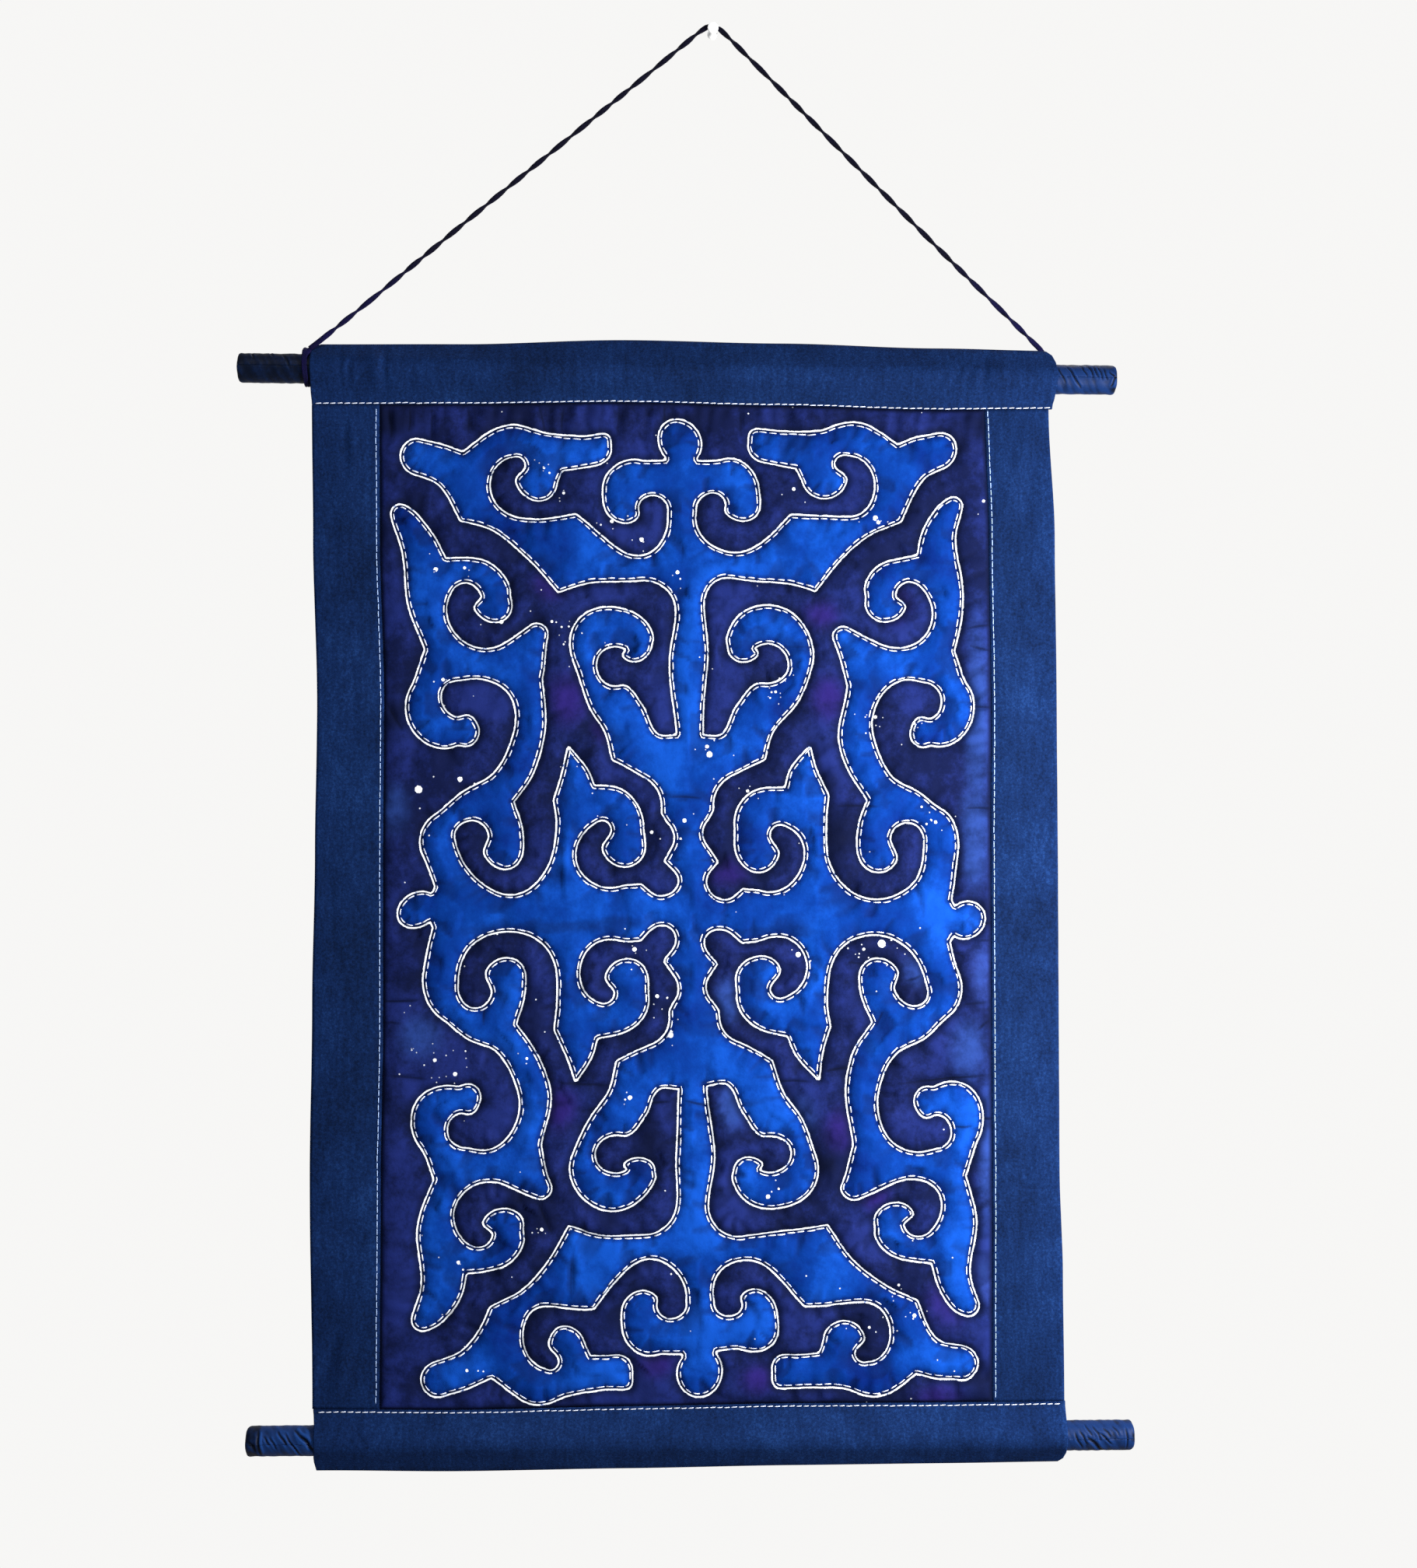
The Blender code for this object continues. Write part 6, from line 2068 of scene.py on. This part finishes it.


# a wrinkle's distance in, angle, half length, lean, half width and depth; the end's painted shade
ROD_ENDS = {
    Level.TOP: {
        Side.LEFT: RodEnd(
            rows_of(
                Wrinkle,
                (9, 50, 4, 0.3, 0.5, 0.48), (20, 60, 4, 0.5, 0.5, 0.4), (30, 20, 6, 0.5, 0.6, 0.32),
            ),
            0.8,
        ),
        Side.RIGHT: RodEnd(
            rows_of(
                Wrinkle,
                (26.3, -3, 8.5, 0.6, 0.55, 0.8), (29, 25, 5, 0.5, 0.5, 0.48),
                (20.5, 28, 5, 0.45, 0.5, 0.64), (16.5, 30, 5.5, 0.35, 0.5, 0.64),
                (13.5, 25, 5.5, 0.35, 0.5, 0.64), (10.5, 18, 5, 0.3, 0.5, 0.56),
                (7.5, 12, 4, 0.3, 0.5, 0.48), (3.4, 10, 3, 0.9, 0.5, 0.64),
                (2.6, -18, 3.5, -0.4, 0.5, 0.64), (34, 5, 6, 0.5, 0.5, 0.32),
            ),
            0.32,
        ),
    },
    Level.BOTTOM: {
        Side.LEFT: RodEnd(
            rows_of(
                Wrinkle,
                (8.2, 0, 9, 0.1, 0.7, 0.7), (4.5, -5, 5, 0.8, 0.9, 0.5), (13, 15, 4, 0.7, 0.5, 0.48),
                (17, 5, 5, 0.6, 0.5, 0.48), (22, 25, 6, 0.7, 0.5, 0.56), (27, 10, 7, 0.7, 0.5, 0.56),
                (31, -30, 6, 0.6, 0.5, 0.48), (33.5, 30, 7, 1.1, 0.7, 0.6), (37, 5, 7, 0.9, 0.9, 0.8),
            ),
            0.75,
            8.5,
        ),
        Side.RIGHT: RodEnd(
            rows_of(
                Wrinkle,
                (24, -22, 8, 0.95, 0.9, 0.8), (18, 3, 6.5, 1.1, 0.5, 0.8), (23, 25, 6, 0.55, 0.5, 0.64),
                (17, 28, 3.5, 0.9, 0.5, 0.48), (31, 5, 5, 0.6, 0.5, 0.64), (34, -10, 6, 0.5, 0.6, 0.56),
                (28, 35, 5, 0.5, 0.5, 0.48), (5, 0, 8, 0.05, 0.5, 0.48), (11, 30, 4, 0.6, 0.5, 0.4),
            ),
            0.3,
        ),
    },
}


@dataclass
class Hanging:
    """The whole hanging: every piece, and what each stands for."""

    cloth: Cloth = field(default_factory=Cloth)
    top_rod_shift: float = -3 * MM
    bottom_rod_shift: float = 3.5 * MM
    top_rod_tilt: float = math.radians(0.6)
    bottom_rod_tilt: float = math.radians(0.18)
    top_rod_raise: float = 0.7 * MM
    bottom_rod_drop: float = 1.55 * MM
    turn_over_rod: float = 3 * MM

    def rod(self, level: Level) -> RodLine:
        """A rod's line."""
        cloth = self.cloth
        if level is Level.TOP:
            middle = cloth.top_z - cloth.top_sleeve_height / 2 + self.top_rod_raise
            return RodLine(middle, self.top_rod_shift, self.top_rod_tilt)
        middle = cloth.panel_bottom - cloth.bottom_sleeve_height / 2 - self.bottom_rod_drop
        return RodLine(middle, self.bottom_rod_shift, self.bottom_rod_tilt)

    def dress(self, piece: Object, slot: str, *nodes: str) -> Object:
        """Makes a piece ride on the root body and stand for its nodes.

        Args:
            piece: The finished piece.
            slot: The record's material slot; not used.
            nodes: The nodes that it stands for.

        Returns:
            The piece.
        """
        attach(piece, "root")
        if nodes:
            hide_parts(*nodes)
        LOG.info("%s: %d faces", piece.name, len(piece.data.polygons))
        return piece

    def build_rods(self) -> None:
        """Makes the two wrapped rods."""
        wrap = RodWrap().material()
        for level in Level:
            rod = WrappedRod(self.cloth, level, self.rod(level), ROD_ENDS[level]).build(wrap)
            self.dress(rod, "rod_wrap", f"rod_{level.word}")

    def build_sleeves(self, plain: Material, thread: Material) -> None:
        """Makes the rod sleeves and their topstitching."""
        cloth = self.cloth
        sewing = Topstitching(cloth, Thread(thread, 0.62 * MM, 0.45 * MM, slant=0.07), dash=3.9 * MM)
        for level, rests_on in ((Level.TOP, "wrapped_rod_top"), (Level.BOTTOM, "batik_panel")):
            sleeve = RodSleeve(cloth, level, self.rod(level), SLEEVE_CREASES[level]).build(plain)
            self.dress(sleeve, "plain_cotton", f"sleeve_{level.word}")
            ground = partial(sewing.across, level=level)
            row = sewing.row(level.word, cloth.sleeve_length, ground, 10 + level.value)
            self.dress(row, "plain_cotton")

    def build_borders(self, plain: Material) -> None:
        """Makes the side borders and their topstitching."""
        cloth = self.cloth
        worn = WhiteThread("worn thread", srgb(176, 200, 236), srgb(104, 130, 184)).material()
        sewing = Topstitching(cloth, Thread(worn, 0.5 * MM, 0.4 * MM), dash=4.2 * MM)
        for side in Side:
            strip = SideBorder(cloth, side, BORDER_CREASES[side]).build(plain)
            self.dress(strip, "plain_cotton", f"border_{side.word}")
            ground = partial(sewing.down, side=side)
            row = sewing.row(side.word, cloth.panel_height, ground, 20 + side.value)
            self.dress(row, "plain_cotton")

    def build_panel(self, thread: Material) -> None:
        """Makes the quilted panel and its running stitches."""
        cloth = self.cloth
        quilting = Quilting(cloth, PANEL_CREASES)
        panel = QuiltedPanel(quilting, SPLASHES, DYE_CLOUDS).build(BatikDye().material())
        self.dress(panel, "batik_cotton", "quilted_panel")
        stitches = OutlineStitches(quilting, Thread(thread, 0.85 * MM, 0.6 * MM)).build()
        self.dress(stitches, "batik_cotton")

    def build_cord(self) -> None:
        braid = FlatBraid().material()
        maker = HangingCord()
        cord = self.dress(maker.build(braid), "cord", "hanging_cord")
        tie = self.dress(CordTie(self.cloth, self.rod(Level.TOP)).build(braid), "cord", "cord_tie")
        knot = self.dress(CordKnot().build(braid), "cord", "cord_knot")
        LOG.info("cord length: %.4f m", maker.length)

    def build(self) -> None:
        """Makes every piece in order."""
        thread = WhiteThread().material()
        self.build_rods()
        plain = PlainCotton().material()
        self.build_sleeves(plain, thread)
        self.build_borders(plain)
        self.build_panel(thread)
        self.build_cord()
        self.dress(WallPin().build(PinPlastic().material()), "white_plastic", "wall_pin")


def main() -> None:
    """Loads the frame and dresses it."""
    logging.basicConfig(level=logging.INFO, format="%(name)s: %(message)s")
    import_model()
    Studio().build()
    CAMERA.build()
    Hanging().build()


if __name__ == "__main__":
    main()
